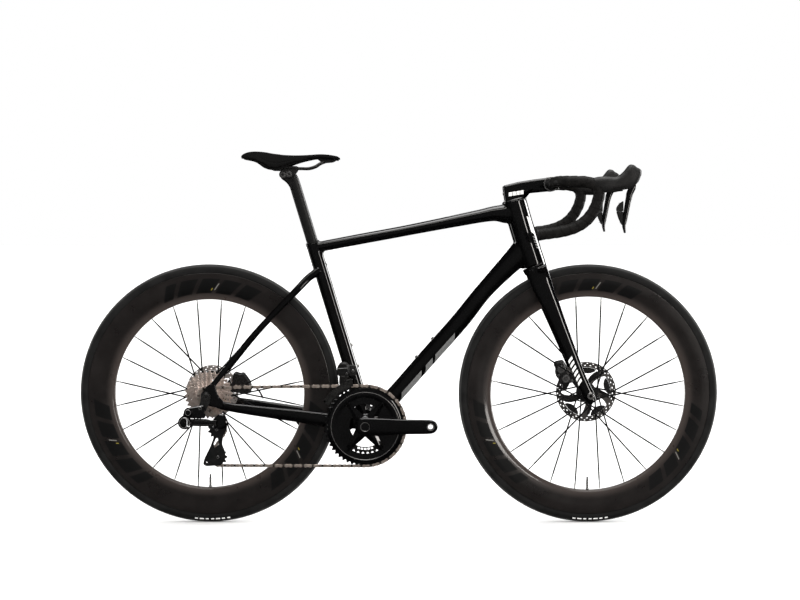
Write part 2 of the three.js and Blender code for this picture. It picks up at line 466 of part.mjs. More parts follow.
// The sleeve of each hub: an inner barrel, its end caps and the rotor boss.
node(wheelGroup, 'front_hub', turned([
  [6.4, -FRONT_OLD / 2], [9.5, -FRONT_OLD / 2], [9.5, -43], [15, -41], [15, -36.4], [12.2, -36.4], [12.2, 24.4], [17, 24.4], [17, 42.5], [13, 44], [9.5, 44],
  [9.5, FRONT_OLD / 2], [6.4, FRONT_OLD / 2]], FRONT_X, AXLE_Z, 16), GRAPHITE);
node(wheelGroup, 'front_spokes', spokes(FRONT_X, -34, 22, 21, RIM_NOSE_FRONT), SPOKE);
node(wheelGroup, 'front_rotor', rotor(FRONT_X, ROTOR_FRONT_Y, ROTOR_FRONT_R), STEEL);
node(wheelGroup, 'front_rim', rim(FRONT_X, RIM_NOSE_FRONT), RIM_BROWN);
node(wheelGroup, 'front_tyre', tyre(FRONT_X), RUBBER);
node(wheelGroup, 'front_valve', valve(FRONT_X, RIM_NOSE_FRONT), MATTE_BLACK);
node(wheelGroup, 'rear_hub', turned([
  [6.4, -22.6], [12.2, -22.6], [12.2, 35.8], [17, 35.8], [17, 58.5], [13, 60], [9.5, 60],
  [9.5, REAR_OLD / 2], [6.4, REAR_OLD / 2]], REAR_X, AXLE_Z, 16), GRAPHITE);
node(wheelGroup, 'rear_spokes', spokes(REAR_X, -19.5, 33.4, 21, RIM_NOSE_REAR), SPOKE);
node(wheelGroup, 'rear_rotor', rotor(REAR_X, ROTOR_REAR_Y, ROTOR_REAR_R), STEEL);
node(wheelGroup, 'rear_rim', rim(REAR_X, RIM_NOSE_REAR), RIM_BROWN);
node(wheelGroup, 'rear_tyre', tyre(REAR_X), RUBBER);
node(wheelGroup, 'rear_valve', valve(REAR_X, RIM_NOSE_REAR), MATTE_BLACK);

// ---------------------------------------------------------------- cassette and cranks
{
  const profile = [[8, -REAR_OLD / 2 + 0.2], [15, -REAR_OLD / 2 + 0.2], [15, COG_Y - 0.9]];
  COGS.forEach((teeth, i) => {
    const y = COG_Y + i * COG_STEP, tip = pitchRadius(teeth) - 0.8;
    profile.push([tip, y - 0.9], [tip, i ? y + COG_STEP - 0.9 : y + 0.9]);
    if (i === 0) profile.push([17.5, y + 0.9], [17.5, y + COG_STEP - 0.9]);
  });
  const last = COG_Y + 11 * COG_STEP;
  profile[profile.length - 1][1] = last + 0.9;
  profile.push([8, last + 0.9]);
  node(driveGroup, 'cassette', turned(profile, REAR_X, AXLE_Z, 16), BRONZE);
}
const RING_N = 52;
const ringOuterR = pitchRadius(52) - 0.8, ringInnerR = pitchRadius(36) + 1;
node(driveGroup, 'chainring_outer', plate(circle(BB_X, BB_Z, ringOuterR, RING_N), [circle(BB_X, BB_Z, 48, 24)], RING_OUT_Y - 1.2, RING_OUT_Y + 1.2), GRAPHITE);
node(driveGroup, 'chainring_inner', plate(circle(BB_X, BB_Z, ringInnerR, 36), [circle(BB_X, BB_Z, 48, 24)], RING_IN_Y - 1, RING_IN_Y + 1), GRAPHITE);

const arm = (rootIn, tipIn) => {
  // stations along the arm: [distance, half height, inner face, outer face]
  const stations = [[-24, 14, rootIn, 62], [-12, 22, rootIn, 66], [12, 23, rootIn, 68], [40, 22, rootIn + 3, 69.5], [75, 20, tipIn - 1, 71],
    [110, 18, tipIn, Q_HALF], [160, 17, tipIn, Q_HALF], [180, 14.5, tipIn, Q_HALF], [186.5, 7, tipIn + 1, Q_HALF - 1]];
  return warp(roundOutline(12, 3.2), stations.length - 1, (u, v, j) => {
    const s = stations[j], mid = (s[2] + s[3]) / 2, half = (s[3] - s[2]) / 2;
    return [BB_X + s[0], mid + half * v, BB_Z + s[1] * u];
  }).add(cylinder([BB_X + CRANK_LENGTH, Q_HALF - 5, BB_Z], [BB_X + CRANK_LENGTH, Q_HALF - 0.5, BB_Z], 12, 20))
    .subtract(cylinder([BB_X + CRANK_LENGTH, 40, BB_Z], [BB_X + CRANK_LENGTH, 90, BB_Z], 7.1, 14));
};
const flatten = (solid) => solid.trimByPlane([0, -1, 0], -Q_HALF + 0.5);
const spider = [];
for (const deg of [54, 126, 234, 306]) {
  const t = deg * Math.PI / 180, c = Math.cos(t), s = Math.sin(t), w = 9;
  spider.push(plate([[BB_X - s * w, BB_Z + c * w], [BB_X + s * w, BB_Z - c * w],
    [BB_X + 62 * c + s * 6, BB_Z + 62 * s - c * 6], [BB_X + 62 * c - s * 6, BB_Z + 62 * s + c * 6]], [], -46.4, -43.4));
}
const crankRight = union(mirrorY(flatten(arm(51, 60))), ...spider,
  turned([[5, -54], [27, -54], [27, -43.4], [22.4, -43.4], [22.4, -48], [5, -48]], BB_X, BB_Z, 16))
  .subtract(turned([[5, -47.9], [22.3, -47.9], [22.3, -38], [5, -38]], BB_X, BB_Z, 16))
  .subtract(cylinder([BB_X, -47.9, BB_Z], [BB_X, -38, BB_Z], 12, 16))
  .add(cylinder([BB_X, -56, BB_Z], [BB_X, 60, BB_Z], SPINDLE_R, 16));
node(driveGroup, 'crank_arm_right', crankRight, GRAPHITE);
const crankLeft = flatten(arm(50, 60));
const crankLeftTurned = crankLeft.translate([-BB_X, 0, -BB_Z]).rotate([0, 180, 0]).translate([BB_X, 0, BB_Z])
  .subtract(cylinder([BB_X, 30, BB_Z], [BB_X, 60.4, BB_Z], SPINDLE_R + GAP, 16));
node(driveGroup, 'crank_arm_left', crankLeftTurned, GRAPHITE);

// ---------------------------------------------------------------- rear derailleur
const GUIDE = [-472, 254], TENSION = [-469.8, 182.3], CAGE_PIVOT = [-457, 277];
const pulleyR = pitchRadius(11);
for (const [name, c] of [['guide_pulley', GUIDE], ['tension_pulley', TENSION]]) {
  node(driveGroup, name, turned([[3.5, COG_Y - 1], [pulleyR - 0.8, COG_Y - 1], [pulleyR - 0.8, COG_Y + 1], [3.5, COG_Y + 1]], c[0], c[1], 16), MATTE_BLACK);
}
const cageOutline = [
  [-447, 268], [-446, 256], [-457, 236], [-460, 214], [-452, 196], [-451, 176], [-460, 161], [-500, 158.5], [-508, 163], [-506, 176],
  [-490, 208], [-480, 234], [-486, 254], [-478, 268], [-462, 274]];
const cagePlate = (y0, y1) => plate(cageOutline, [], y0, y1);
let cage = union(cagePlate(-71.5, -69.8), cagePlate(-60, -58.4),
  cylinder([GUIDE[0], -71, GUIDE[1]], [GUIDE[0], -59, GUIDE[1]], 3, 12), cylinder([TENSION[0], -71, TENSION[1]], [TENSION[0], -59, TENSION[1]], 3, 12),
  cylinder([CAGE_PIVOT[0], -76.5, CAGE_PIVOT[1] - 6], [CAGE_PIVOT[0], -70.5, CAGE_PIVOT[1] - 6], 10, 14));
node(driveGroup, 'rear_derailleur_cage', cage, MATTE_BLACK);
// knuckle: a housing around the cage pivot with two ears for the link
const KN = CAGE_PIVOT;
let knuckle = union(cylinder([KN[0], -98, KN[1] - 3], [KN[0], -76.9, KN[1] - 3], 15.5, 16),
  plate([[KN[0] - 24, KN[1] + 9], [KN[0] - 4, KN[1] + 24], [KN[0] + 10, KN[1] + 20], [KN[0] + 14, KN[1] - 8], [KN[0] - 6, KN[1] - 18], [KN[0] - 24, KN[1] - 14]], [], -104, -90));
knuckle = knuckle.subtract(box(KN[0] - 40, KN[0] - 9, -110, -80, KN[1] - 11, KN[1] + 6));
node(driveGroup, 'rear_derailleur_knuckle', biggest(knuckle), GRAPHITE);
// link between the body's pivot and the knuckle's pivot
const LINK_B = [-543, -90], LINK_P = [-470, -97];
const linkSolid = (() => {
  const n = [[LINK_B[0], LINK_B[1], 6], [-520, -92.5, 7], [-495, -95, 7], [LINK_P[0], LINK_P[1], 4.5]];
  return warp(roundOutline(10, 3), 3, (u, v, j) => [n[j][0], n[j][1] + v * n[j][2] * 0.85, KN[1] - 2.5 + j * 0 + u * (j === 0 ? 8 : 7.6)]);
})();
node(driveGroup, 'rear_derailleur_linkage', linkSolid.subtract(cylinder([LINK_B[0] - 6, LINK_B[1], 200], [LINK_B[0] - 6, LINK_B[1], 400], 3.2, 12)), GRAPHITE);
// body: hanger link, pivot housing and motor
let rdBody = union(
  plate([[-503, 322], [-497, 309], [-503, 298], [-520, 296], [-536, 290], [-552, 292], [-556, 304], [-546, 314], [-520, 318]], [], -97, -84.6),
  cylinder([-542.6, -101, 302], [-542.6, -82, 302], 11.5, 16),
  cylinder([-551, -105, 276], [-551, -76, 276], 17.5, 18),
  plate([[-556, 300], [-534, 300], [-534, 290], [-556, 284]], [], -99, -80));
rdBody = rdBody.subtract(box(-548.8, -500, -130, -60, 264, 285.6));
node(frameGroup, 'rear_derailleur_body', biggest(rdBody), GRAPHITE);

// ---------------------------------------------------------------- front derailleur
const arcPoint = (r, deg) => [BB_X + r * Math.cos(deg * Math.PI / 180), BB_Z + r * Math.sin(deg * Math.PI / 180)];
const cageArc = (r0, r1, d0, d1, n) => {
  const out = [];
  for (let i = 0; i <= n; i++) out.push(arcPoint(r1, d0 + (d1 - d0) * i / n));
  for (let i = n; i >= 0; i--) out.push(arcPoint(r0, d0 + (d1 - d0) * i / n));
  return out;
};
const fdCage = union(plate(cageArc(103, 127, 108, 150, 6), [], -57.2, -56), plate(cageArc(100, 127, 108, 150, 6), [], -43.4, -42.2),
  plate(cageArc(124.5, 130, 105, 112, 2), [], -57.2, -42.2), plate(cageArc(122, 130, 105, 113, 1), [], -57.2, -56), plate(cageArc(122, 130, 105, 113, 1), [], -43.4, -42.2),
  box(-150, -137, -44, -41, 366, 386));
node(driveGroup, 'front_derailleur_cage', fdCage, STEEL);
let fdBody = union(box(-163, -128, -44, -20, 388.5, 428), box(-150, -112, -24, -16, 388, 418));
fdBody = fdBody.subtract(planar([seatStation(-180, 18.7, 15.6), seatStation(-330, 19, 17.4), seatStation(-430, 20.4, 24.4)], 12, 2.4));
node(frameGroup, 'front_derailleur_body', biggest(fdBody), GRAPHITE);

// ---------------------------------------------------------------- chain
// The chain's line: over the ring, back to the smallest cog, round the two pulleys and forward again.
{
  const tau = Math.PI * 2, R1 = pitchRadius(52), R2 = pulleyR;
  const ring = [BB_X, BB_Z], cog = [REAR_X, AXLE_Z];
  // tangent lines between circles; sense +1 is anticlockwise seen from the right (X right, Z up)
  function tangent(c1, r1, s1, c2, r2, s2) {
    const dx = c2[0] - c1[0], dz = c2[1] - c1[1], d = Math.hypot(dx, dz), base = Math.atan2(dz, dx);
    // travel direction u, with the circle's centre to the left (+1) or right (-1)
    const k = (s1 * r1 - s2 * r2) / d, phi = base + Math.asin(k) * 1;
    const u = [Math.cos(phi), Math.sin(phi)], nl = [-u[1], u[0]];
    return [[c1[0] - nl[0] * s1 * r1, c1[1] - nl[1] * s1 * r1], [c2[0] - nl[0] * s2 * r2, c2[1] - nl[1] * s2 * r2]];
  }
  // travel: cog top -> ring top (clockwise circles, centre on the right), ring -> tension pulley, guide, cog
  const hops = [
    { c: cog, r: R2, s: -1, y: COG_Y }, { c: ring, r: R1, s: -1, y: RING_OUT_Y },
    { c: TENSION, r: R2, s: -1, y: COG_Y }, { c: GUIDE, r: R2, s: 1, y: COG_Y }];
  const lines = hops.map((h, i) => { const g = hops[(i + 1) % 4]; return tangent(h.c, h.r, h.s, g.c, g.r, g.s); });
  const pts = [];
  hops.forEach((h, i) => {
    const inn = lines[(i + 3) % 4][1], out = lines[i][0];
    let a0 = Math.atan2(inn[1] - h.c[1], inn[0] - h.c[0]), a1 = Math.atan2(out[1] - h.c[1], out[0] - h.c[0]);
    if (h.s > 0) { while (a1 < a0) a1 += tau; } else { while (a1 > a0) a1 -= tau; }
    const n = Math.max(2, Math.ceil(Math.abs(a1 - a0) * (h.r > 50 ? 16 : 8) / tau * 1.6));
    const rr = h.r / Math.cos(Math.abs(a1 - a0) / n / 2) * 0.5 + h.r * 0.5;
    for (let k = 0; k <= n; k++) {
      const a = a0 + (a1 - a0) * k / n;
      pts.push([h.c[0] + rr * Math.cos(a), h.y, h.c[1] + rr * Math.sin(a)]);
    }
    const nxt = hops[(i + 1) % 4];
    if (Math.abs(h.y - nxt.y) > 1) {
      const o = lines[i][0], q = lines[i][1];
      for (const f of [0.08, 0.5, 0.92]) pts.push([o[0] + (q[0] - o[0]) * f, h.y + (nxt.y - h.y) * (f === 0.08 ? 0 : f === 0.5 ? 0.5 : 1), o[1] + (q[1] - o[1]) * f]);
    }
  });
  const n = pts.length;
  // H section: two rows of side plates and the rollers between them as a web
  const H = [[-2.4, -4], [-1.5, -4], [-1.5, -0.5], [1.5, -0.5], [1.5, -4], [2.4, -4], [2.4, 4], [1.5, 4], [1.5, 0.5], [-1.5, 0.5], [-1.5, 4], [-2.4, 4]];
  const frames = pts.map((p, i) => {
    const a = pts[(i + n - 1) % n], b = pts[(i + 1) % n];
    const t = new THREE.Vector2(b[0] - a[0], b[2] - a[2]).normalize();
    return [-t.y, t.x];
  });
  const position = [], index = [];
  pts.forEach((p, i) => H.forEach(([y, h]) => position.push(p[0] + frames[i][0] * h, p[1] + y, p[2] + frames[i][1] * h)));
  for (let i = 0; i < n; i++) {
    for (let k = 0; k < 12; k++) {
      const a = i * 12 + k, b = i * 12 + (k + 1) % 12, c = ((i + 1) % n) * 12 + k, d = ((i + 1) % n) * 12 + (k + 1) % 12;
      index.push(a, b, c, b, d, c);
    }
  }
  const g = new THREE.BufferGeometry();
  g.setAttribute('position', new THREE.BufferAttribute(new Float32Array(position), 3));
  g.setIndex(index);
  node(frameGroup, 'chain', toSolid(g), BRONZE);
}

// ---------------------------------------------------------------- seatpost and saddle
const HEAD_C = seatAt(233, -1);
let post = union(planar([seatStation(SEAT_TOP - 125, POST_A, POST_B), seatStation(SEAT_TOP, POST_A, POST_B), seatStation(215, POST_A, POST_B),
  seatStation(232, 12, 11.5)], 12, 2.3), cylinder([HEAD_C[0], -15, HEAD_C[2]], [HEAD_C[0], 15, HEAD_C[2]], 11, 16));
// the head swells rearwards below the rail clamp
post = union(post, plate([[HEAD_C[0] + 4, 911], [HEAD_C[0] - 26, 911], [HEAD_C[0] - 28, 908], [HEAD_C[0] - 24, 903], [HEAD_C[0] - 16, 898],
  [HEAD_C[0] - 7, 889], [HEAD_C[0] + 4, 885]], [], -13, 13));
node(saddleGroup, 'seatpost', post, MATTE_BLACK);
const RAIL_Z = 931, RAIL_Y = 22;
const clampSolid = plate([[HEAD_C[0] - 19, 937], [HEAD_C[0] + 19, 937], [HEAD_C[0] + 14, 923], [HEAD_C[0] + 5, 911], [HEAD_C[0] - 10, 904.5], [HEAD_C[0] - 22, 904],
  [HEAD_C[0] - 30, 909], [HEAD_C[0] - 31.5, 917], [HEAD_C[0] - 26, 926]], [], -28, 28)
  .subtract(cylinder([HEAD_C[0], -16, HEAD_C[2]], [HEAD_C[0], 16, HEAD_C[2]], 11.6, 16))
  .subtract(box(HEAD_C[0] - 40, HEAD_C[0] + 40, -16, 16, 880, HEAD_C[2]))
  .subtract(planar([seatStation(150, POST_A + 3, POST_B + 3), seatStation(232, POST_A + 3, POST_B + 3)], 10, 2.3))
  .subtract(cylinder([-340, -RAIL_Y, RAIL_Z], [-220, -RAIL_Y, RAIL_Z], 4, 12))
  .subtract(cylinder([-340, RAIL_Y, RAIL_Z], [-220, RAIL_Y, RAIL_Z], 4, 12))
  .subtract(union(...[-7, 7].map((turn) => planar([seatStation(150, POST_A + 1, POST_B + 3), seatStation(232, POST_A + 1, POST_B + 3)], 10, 2.3)
    .translate([-HEAD_C[0], 0, -HEAD_C[2]]).rotate([0, turn, 0]).translate([HEAD_C[0], 0, HEAD_C[2]]))));
node(saddleGroup, 'saddle_clamp', biggest(clampSolid), GRAPHITE);
{
  const half = [[-384, 42, 956.6], [-372, 40, 951.6], [-360, 36, 943.5], [-346, 27, 934], [-330, RAIL_Y, RAIL_Z], [-280, RAIL_Y, RAIL_Z], [-236, RAIL_Y, RAIL_Z],
    [-218, 20, 936], [-205, 15, 944], [-192, 8, 948.5]];
  const path = half.map(([x, y, z]) => [x, -y, z]).concat([[-186, 0, 949.5]], half.slice().reverse());
  node(saddleGroup, 'saddle_rails', sweep(path, 3.5, 6), STEEL);
}
{
  // [x, half width, centre height, edge height, thickness]
  const S = [[-413.5, 24, 965, 962, 8], [-403, 50, 972, 961, 11], [-386, 66, 977, 958.5, 12], [-372, 69.5, 977.2, 955, 12], [-360, 71, 976.5, 950, 12], [-345, 69.5, 974.8, 940.5, 11.5],
    [-330, 66, 972.5, 933, 11], [-315, 60, 971, 932.5, 11], [-300, 53, 969.5, 937, 11], [-285, 45, 969, 943.5, 11], [-270, 38, 968.8, 949, 11], [-240, 27, 970, 957, 11],
    [-210, 21, 970.5, 962, 11.5], [-180, 17, 967, 959.5, 11], [-160, 11, 961.5, 953.5, 8], [-153.8, 5, 957.5, 952, 5]];
  const k = 6, outline = [];
  for (let i = 0; i <= k; i++) outline.push([-1 + 2 * i / k, 1]);
  for (let i = k; i >= 0; i--) outline.push([-1 + 2 * i / k, 0]);
  node(saddleGroup, 'saddle', warp(outline, S.length - 1, (u, v, j) => {
    const [x, w, zc, ze, t] = S[j], drop = Math.abs(u) ** 2.3;
    return [x, u * (w - (1 - v) * 2), zc + (ze - zc) * drop - (1 - v) * (t * (1 - 0.55 * drop))];
  }), MATTE_BLACK);
}

export default bicycle;
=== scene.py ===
import bpy, bmesh, math
import numpy as np
from mathutils import Vector, Matrix
from mathutils.geometry import tessellate_polygon


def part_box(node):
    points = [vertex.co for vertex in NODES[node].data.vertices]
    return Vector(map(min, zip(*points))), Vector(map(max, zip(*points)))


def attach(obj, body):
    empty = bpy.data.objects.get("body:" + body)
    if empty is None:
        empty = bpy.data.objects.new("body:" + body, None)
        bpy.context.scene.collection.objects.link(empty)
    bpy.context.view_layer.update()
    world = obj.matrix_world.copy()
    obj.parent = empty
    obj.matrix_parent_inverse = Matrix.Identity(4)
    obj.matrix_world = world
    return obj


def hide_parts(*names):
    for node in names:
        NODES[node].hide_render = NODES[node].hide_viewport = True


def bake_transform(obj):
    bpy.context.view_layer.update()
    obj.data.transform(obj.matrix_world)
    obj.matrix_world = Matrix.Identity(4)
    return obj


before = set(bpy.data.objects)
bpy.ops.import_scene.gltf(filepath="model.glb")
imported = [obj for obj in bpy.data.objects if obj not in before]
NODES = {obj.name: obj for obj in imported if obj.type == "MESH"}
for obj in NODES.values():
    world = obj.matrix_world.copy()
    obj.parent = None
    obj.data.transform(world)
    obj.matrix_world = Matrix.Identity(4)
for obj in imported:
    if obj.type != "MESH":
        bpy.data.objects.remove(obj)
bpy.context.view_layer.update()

MM = 0.001
TAU = math.tau

# ------------------------------------------------------------------ camera
cam_data = bpy.data.cameras.new("camera")
cam_data.lens = 68.6
cam_data.sensor_width = 36
cam_data.clip_end = 200
camera = bpy.data.objects.new("camera", cam_data)
bpy.context.scene.collection.objects.link(camera)
camera.location = (0.003, -4.0, 0.80)
camera.rotation_euler = (Vector((0.003, 0, 0.587)) - Vector(camera.location)).to_track_quat("-Z", "Y").to_euler()
bpy.context.scene.camera = camera

# ------------------------------------------------------------------ dimensions in mm, as the solids have them
WHEEL_R = 340.5
AXLE_Z = 340.5
REAR_X, FRONT_X = -498.0, 498.0
RIM_R, RIM_W = 317.0, 14.2
NOSE_FRONT, NOSE_REAR = 255.0, 248.0
TYRE_W = 14.6
BB_X, BB_Z = -87.7, 260.6
CRANK = 170.0
Q_HALF = 73.0
RING_OUT_Y, RING_IN_Y = -48.0, -41.5
PITCH = 12.7
COG_Y, COG_STEP = -64.5, 3.55
COGS = [11, 12, 13, 14, 15, 16, 17, 19, 21, 24, 27, 30]
HEAD_A, HEAD_O = (-0.2924, 0.9563), (456.7, 327.9)
HEAD_LOW, HEAD_TOP = 365.2, 541.5
SEAT_D, SEAT_P = (-0.2897, 0.9571), (-212.4, 692.1)
SEAT_TOP = 47.5
POST_A, POST_B = 14.8, 11.5
BAR_R, BAR_CLAMP_R, TAPE_R = 12.0, 15.9, 15.0
HOOD_Y = 192.0
pitch_radius = lambda teeth: PITCH / (2 * math.sin(math.pi / teeth))


def steer(along, ahead, y=0.0):
    return [HEAD_O[0] + HEAD_A[0] * along + HEAD_A[1] * ahead, y, HEAD_O[1] + HEAD_A[1] * along - HEAD_A[0] * ahead]


def seat_at(along, ahead=0.0, y=0.0):
    return [SEAT_P[0] + SEAT_D[0] * along + SEAT_D[1] * ahead, y, SEAT_P[1] + SEAT_D[1] * along - SEAT_D[0] * ahead]


# ------------------------------------------------------------------ mesh building
def outline(n, power=2.0, phase=0.5):
    t = (np.arange(n) + phase) / n * TAU
    c, s = np.cos(t), np.sin(t)
    return np.sign(c) * np.abs(c) ** (2 / power), np.sign(s) * np.abs(s) ** (2 / power)


def through(stations, count, dims=2):
    """Smooth rows through the given ones. The first dims columns are a place, the rest are sizes that must not overshoot."""
    S = np.array(stations, float)
    d = np.r_[0, np.cumsum(np.linalg.norm(np.diff(S[:, :dims], axis=0), axis=1))]
    n = len(S)
    m = np.zeros_like(S)
    for i in range(n):
        if i == 0:
            m[i] = (S[1] - S[0]) / (d[1] - d[0])
        elif i == n - 1:
            m[i] = (S[-1] - S[-2]) / (d[-1] - d[-2])
        else:
            h0, h1 = d[i] - d[i - 1], d[i + 1] - d[i]
            a, b = (S[i] - S[i - 1]) / h0, (S[i + 1] - S[i]) / h1
            m[i] = (a * h1 + b * h0) / (h0 + h1)
            for k in range(dims, S.shape[1]):
                m[i, k] = 0 if a[k] * b[k] <= 0 else 2 * a[k] * b[k] / (a[k] + b[k])
    q = np.linspace(0, d[-1], count)
    out = np.zeros((count, S.shape[1]))
    for k, t in enumerate(q):
        i = int(min(max(np.searchsorted(d, t, side="right") - 1, 0), n - 2))
        h = d[i + 1] - d[i]
        s = (t - d[i]) / h
        out[k] = ((2 * s**3 - 3 * s**2 + 1) * S[i] + (s**3 - 2 * s**2 + s) * h * m[i]
                  + (-2 * s**3 + 3 * s**2) * S[i + 1] + (s**3 - s**2) * h * m[i + 1])
    return out


def loft_points(stations, n=40, m=60, power=2.4, grow=0.0, angles=None):
    """Rows of points round a tube whose centre lies in an XZ plane: each station is x, z, half depth, half width, y."""
    S = through([list(s) + [0.0] * (5 - len(s)) for s in stations], m)
    t = np.gradient(S[:, :2], axis=0)
    t /= np.linalg.norm(t, axis=1)[:, None]
    if angles is None:
        u, v = outline(n, power)
    else:
        a = np.array(angles)
        c, s = np.cos(a), np.sin(a)
        u, v = np.sign(c) * np.abs(c) ** (2 / power), np.sign(s) * np.abs(s) ** (2 / power)
    P = np.zeros((m, len(u), 3))
    for j in range(m):
        x, z, a, b, y = S[j, :5]
        f = (-t[j, 1], t[j, 0])
        P[j, :, 0] = x + f[0] * u * (a + grow)
        P[j, :, 1] = y + v * (b + grow)
        P[j, :, 2] = z + f[1] * u * (a + grow)
    return P


class Build:
    """Collects closed shells, in mm, into one object."""

    def __init__(self):
        self.v, self.f, self.uv, self.n = [], [], [], 0

    def _add(self, V, F, UV):
        self.v.append(np.asarray(V, float).reshape(-1, 3))
        self.f += [[i + self.n for i in face] for face in F]
        self.uv += UV
        self.n += len(self.v[-1])
        return self

    def grid(self, P, caps=True, closed=True, loop=False, dome=0.0, uscale=1.0):
        """Rows of points; closed joins each row's ends, loop joins the last row to the first."""
        P = np.asarray(P, float)
        m, n = P.shape[:2]
        V = list(P.reshape(-1, 3))
        length = np.r_[0, np.cumsum(np.linalg.norm(np.diff(P.mean(1), axis=0), axis=1))] * MM
        if loop:
            length = np.arange(m) / m
        F, UV = [], []
        rows = m if loop else m - 1
        for j in range(rows):
            k = (j + 1) % m
            l0, l1 = length[j], (length[k] if k else (1.0 if loop else length[-1]))
            for i in range(n if closed else n - 1):
                q = (i + 1) % n
                F.append([j * n + i, j * n + q, k * n + q, k * n + i])
                u0, u1 = i / n * uscale, (i + 1) / n * uscale
                UV.append([(u0, l0), (u1, l0), (u1, l1), (u0, l1)])
        if caps and not loop:
            for row, away in ((0, -1), (m - 1, 1)):
                ring = [row * n + i for i in range(n)]
                c = P[row].mean(0)
                other = P[1 if row == 0 else m - 2].mean(0)
                d = c - other
                d /= np.linalg.norm(d) + 1e-9
                if dome:
                    # two shrinking rings and a tip make a rounded end
                    prev = ring
                    for f, g in ((0.78, 0.62), (0.42, 0.9)):
                        base = len(V)
                        V += [c + (P[row, i] - c) * f + d * dome * g for i in range(n)]
                        cur = [base + i for i in range(n)]
                        for i in range(n):
                            q = (i + 1) % n
                            F.append([prev[i], prev[q], cur[q], cur[i]])
                            UV.append([(0, 0)] * 4)
                        prev = cur
                    V.append(c + d * dome)
                    tip = len(V) - 1
                    for i in range(n):
                        F.append([prev[i], prev[(i + 1) % n], tip])
                        UV.append([(0, 0)] * 3)
                else:
                    V.append(c)
                    tip = len(V) - 1
                    for i in range(n):
                        F.append([ring[i], ring[(i + 1) % n], tip])
                        UV.append([(0, 0)] * 3)
        return self._add(V, F, UV)

    def loft(self, stations, n=40, m=60, power=2.4, dome=0.0):
        return self.grid(loft_points(stations, n, m, power), dome=dome)

    def tube(self, points, radius, n=16, m=None, dome=0.0, power=2.0, flat=1.0):
        P = np.array(points, float)
        if m:
            P = through(P, m, 3)
        t = np.gradient(P, axis=0)
        t /= np.linalg.norm(t, axis=1)[:, None]
        side = np.array([0, 0, 1.0]) if abs(t[0, 2]) < 0.9 else np.array([0, 1.0, 0])
        u, v = outline(n, power)
        R = np.zeros((len(P), n, 3))
        for j in range(len(P)):
            side = side - t[j] * side.dot(t[j])
            side /= np.linalg.norm(side)
            w = np.cross(t[j], side)
            r = radius(j / (len(P) - 1)) if callable(radius) else radius
            if np.ndim(r) == 0:
                R[j] = P[j] + np.outer(u, side) * r + np.outer(v, w) * r * flat
            else:
                R[j] = P[j] + np.outer(u * r, side) + np.outer(v * r, w) * flat
        return self.grid(R, dome=dome)

    def lathe(self, profile, x, z, n=48, phase=0.0, arc=None):
        """A closed profile of [radius, y] turned about the line through (x, z) along Y."""
        prof = np.array(profile, float)
        a = phase + np.arange(n) / n * TAU
        V = [[x + r * math.cos(t), y, z + r * math.sin(t)] for t in a for r, y in prof]
        k = len(prof)
        cum = np.r_[0, np.cumsum(np.linalg.norm(np.diff(prof, axis=0), axis=1))]
        cum = np.r_[cum, cum[-1] + np.linalg.norm(prof[0] - prof[-1])] * MM
        F, UV = [], []
        for j in range(n):
            q = (j + 1) % n
            for i in range(k):
                p = (i + 1) % k
                F.append([j * k + i, j * k + p, q * k + p, q * k + i])
                UV.append([(j / n, cum[i]), (j / n, cum[i + 1]), ((j + 1) / n, cum[i + 1]), ((j + 1) / n, cum[i])])
        return self._add(V, F, UV)

    def prism(self, outer, holes, y0, y1, bevel=0.6, where=None):
        """A plate in an XZ plane from y0 to y1 with chamfered edges. where, if given, carries its points elsewhere."""
        def area(p):
            p = np.array(p)
            return 0.5 * np.sum(p[:, 0] * np.roll(p[:, 1], -1) - np.roll(p[:, 0], -1) * p[:, 1])

        loops = []
        for k, loop in enumerate([outer] + list(holes)):
            p = np.array(loop, float)
            if (area(p) > 0) != (k == 0):
                p = p[::-1]
            loops.append(p)

        def inset(p, b):
            e = np.roll(p, -1, axis=0) - p
            e /= np.linalg.norm(e, axis=1)[:, None] + 1e-9
            nrm = np.stack([-e[:, 1], e[:, 0]], 1)
            prev = np.roll(nrm, 1, axis=0)
            k = 1 + np.sum(nrm * prev, axis=1)
            return p + b * (nrm + prev) / np.maximum(k, 0.5)[:, None]

        levels = [(y0, bevel), (y0 + bevel, 0), (y1 - bevel, 0), (y1, bevel)] if bevel else [(y0, 0), (y1, 0)]
        V, F, UV = [], [], []
        starts = []
        for p in loops:
            rows = []
            for y, b in levels:
                q = inset(p, b) if b else p
                rows.append(len(V))
                V += [[a, y, c] for a, c in q]
            starts.append((rows, len(p)))
            for r in range(len(levels) - 1):
                for i in range(len(p)):
                    j = (i + 1) % len(p)
                    F.append([rows[r] + i, rows[r] + j, rows[r + 1] + j, rows[r + 1] + i])
                    UV.append([(0, 0)] * 4)
        for end in (0, len(levels) - 1):
            polys = [[Vector((V[rows[end] + i][0], V[rows[end] + i][2], 0)) for i in range(count)] for rows, count in starts]
            index = [rows[end] + i for rows, count in starts for i in range(count)]
            for tri in tessellate_polygon(polys):
                F.append([index[i] for i in tri])
                UV.append([(V[index[i]][0] * MM, V[index[i]][2] * MM) for i in tri])
        if where:
            V = [where(*p) for p in V]
        return self._add(V, F, UV)

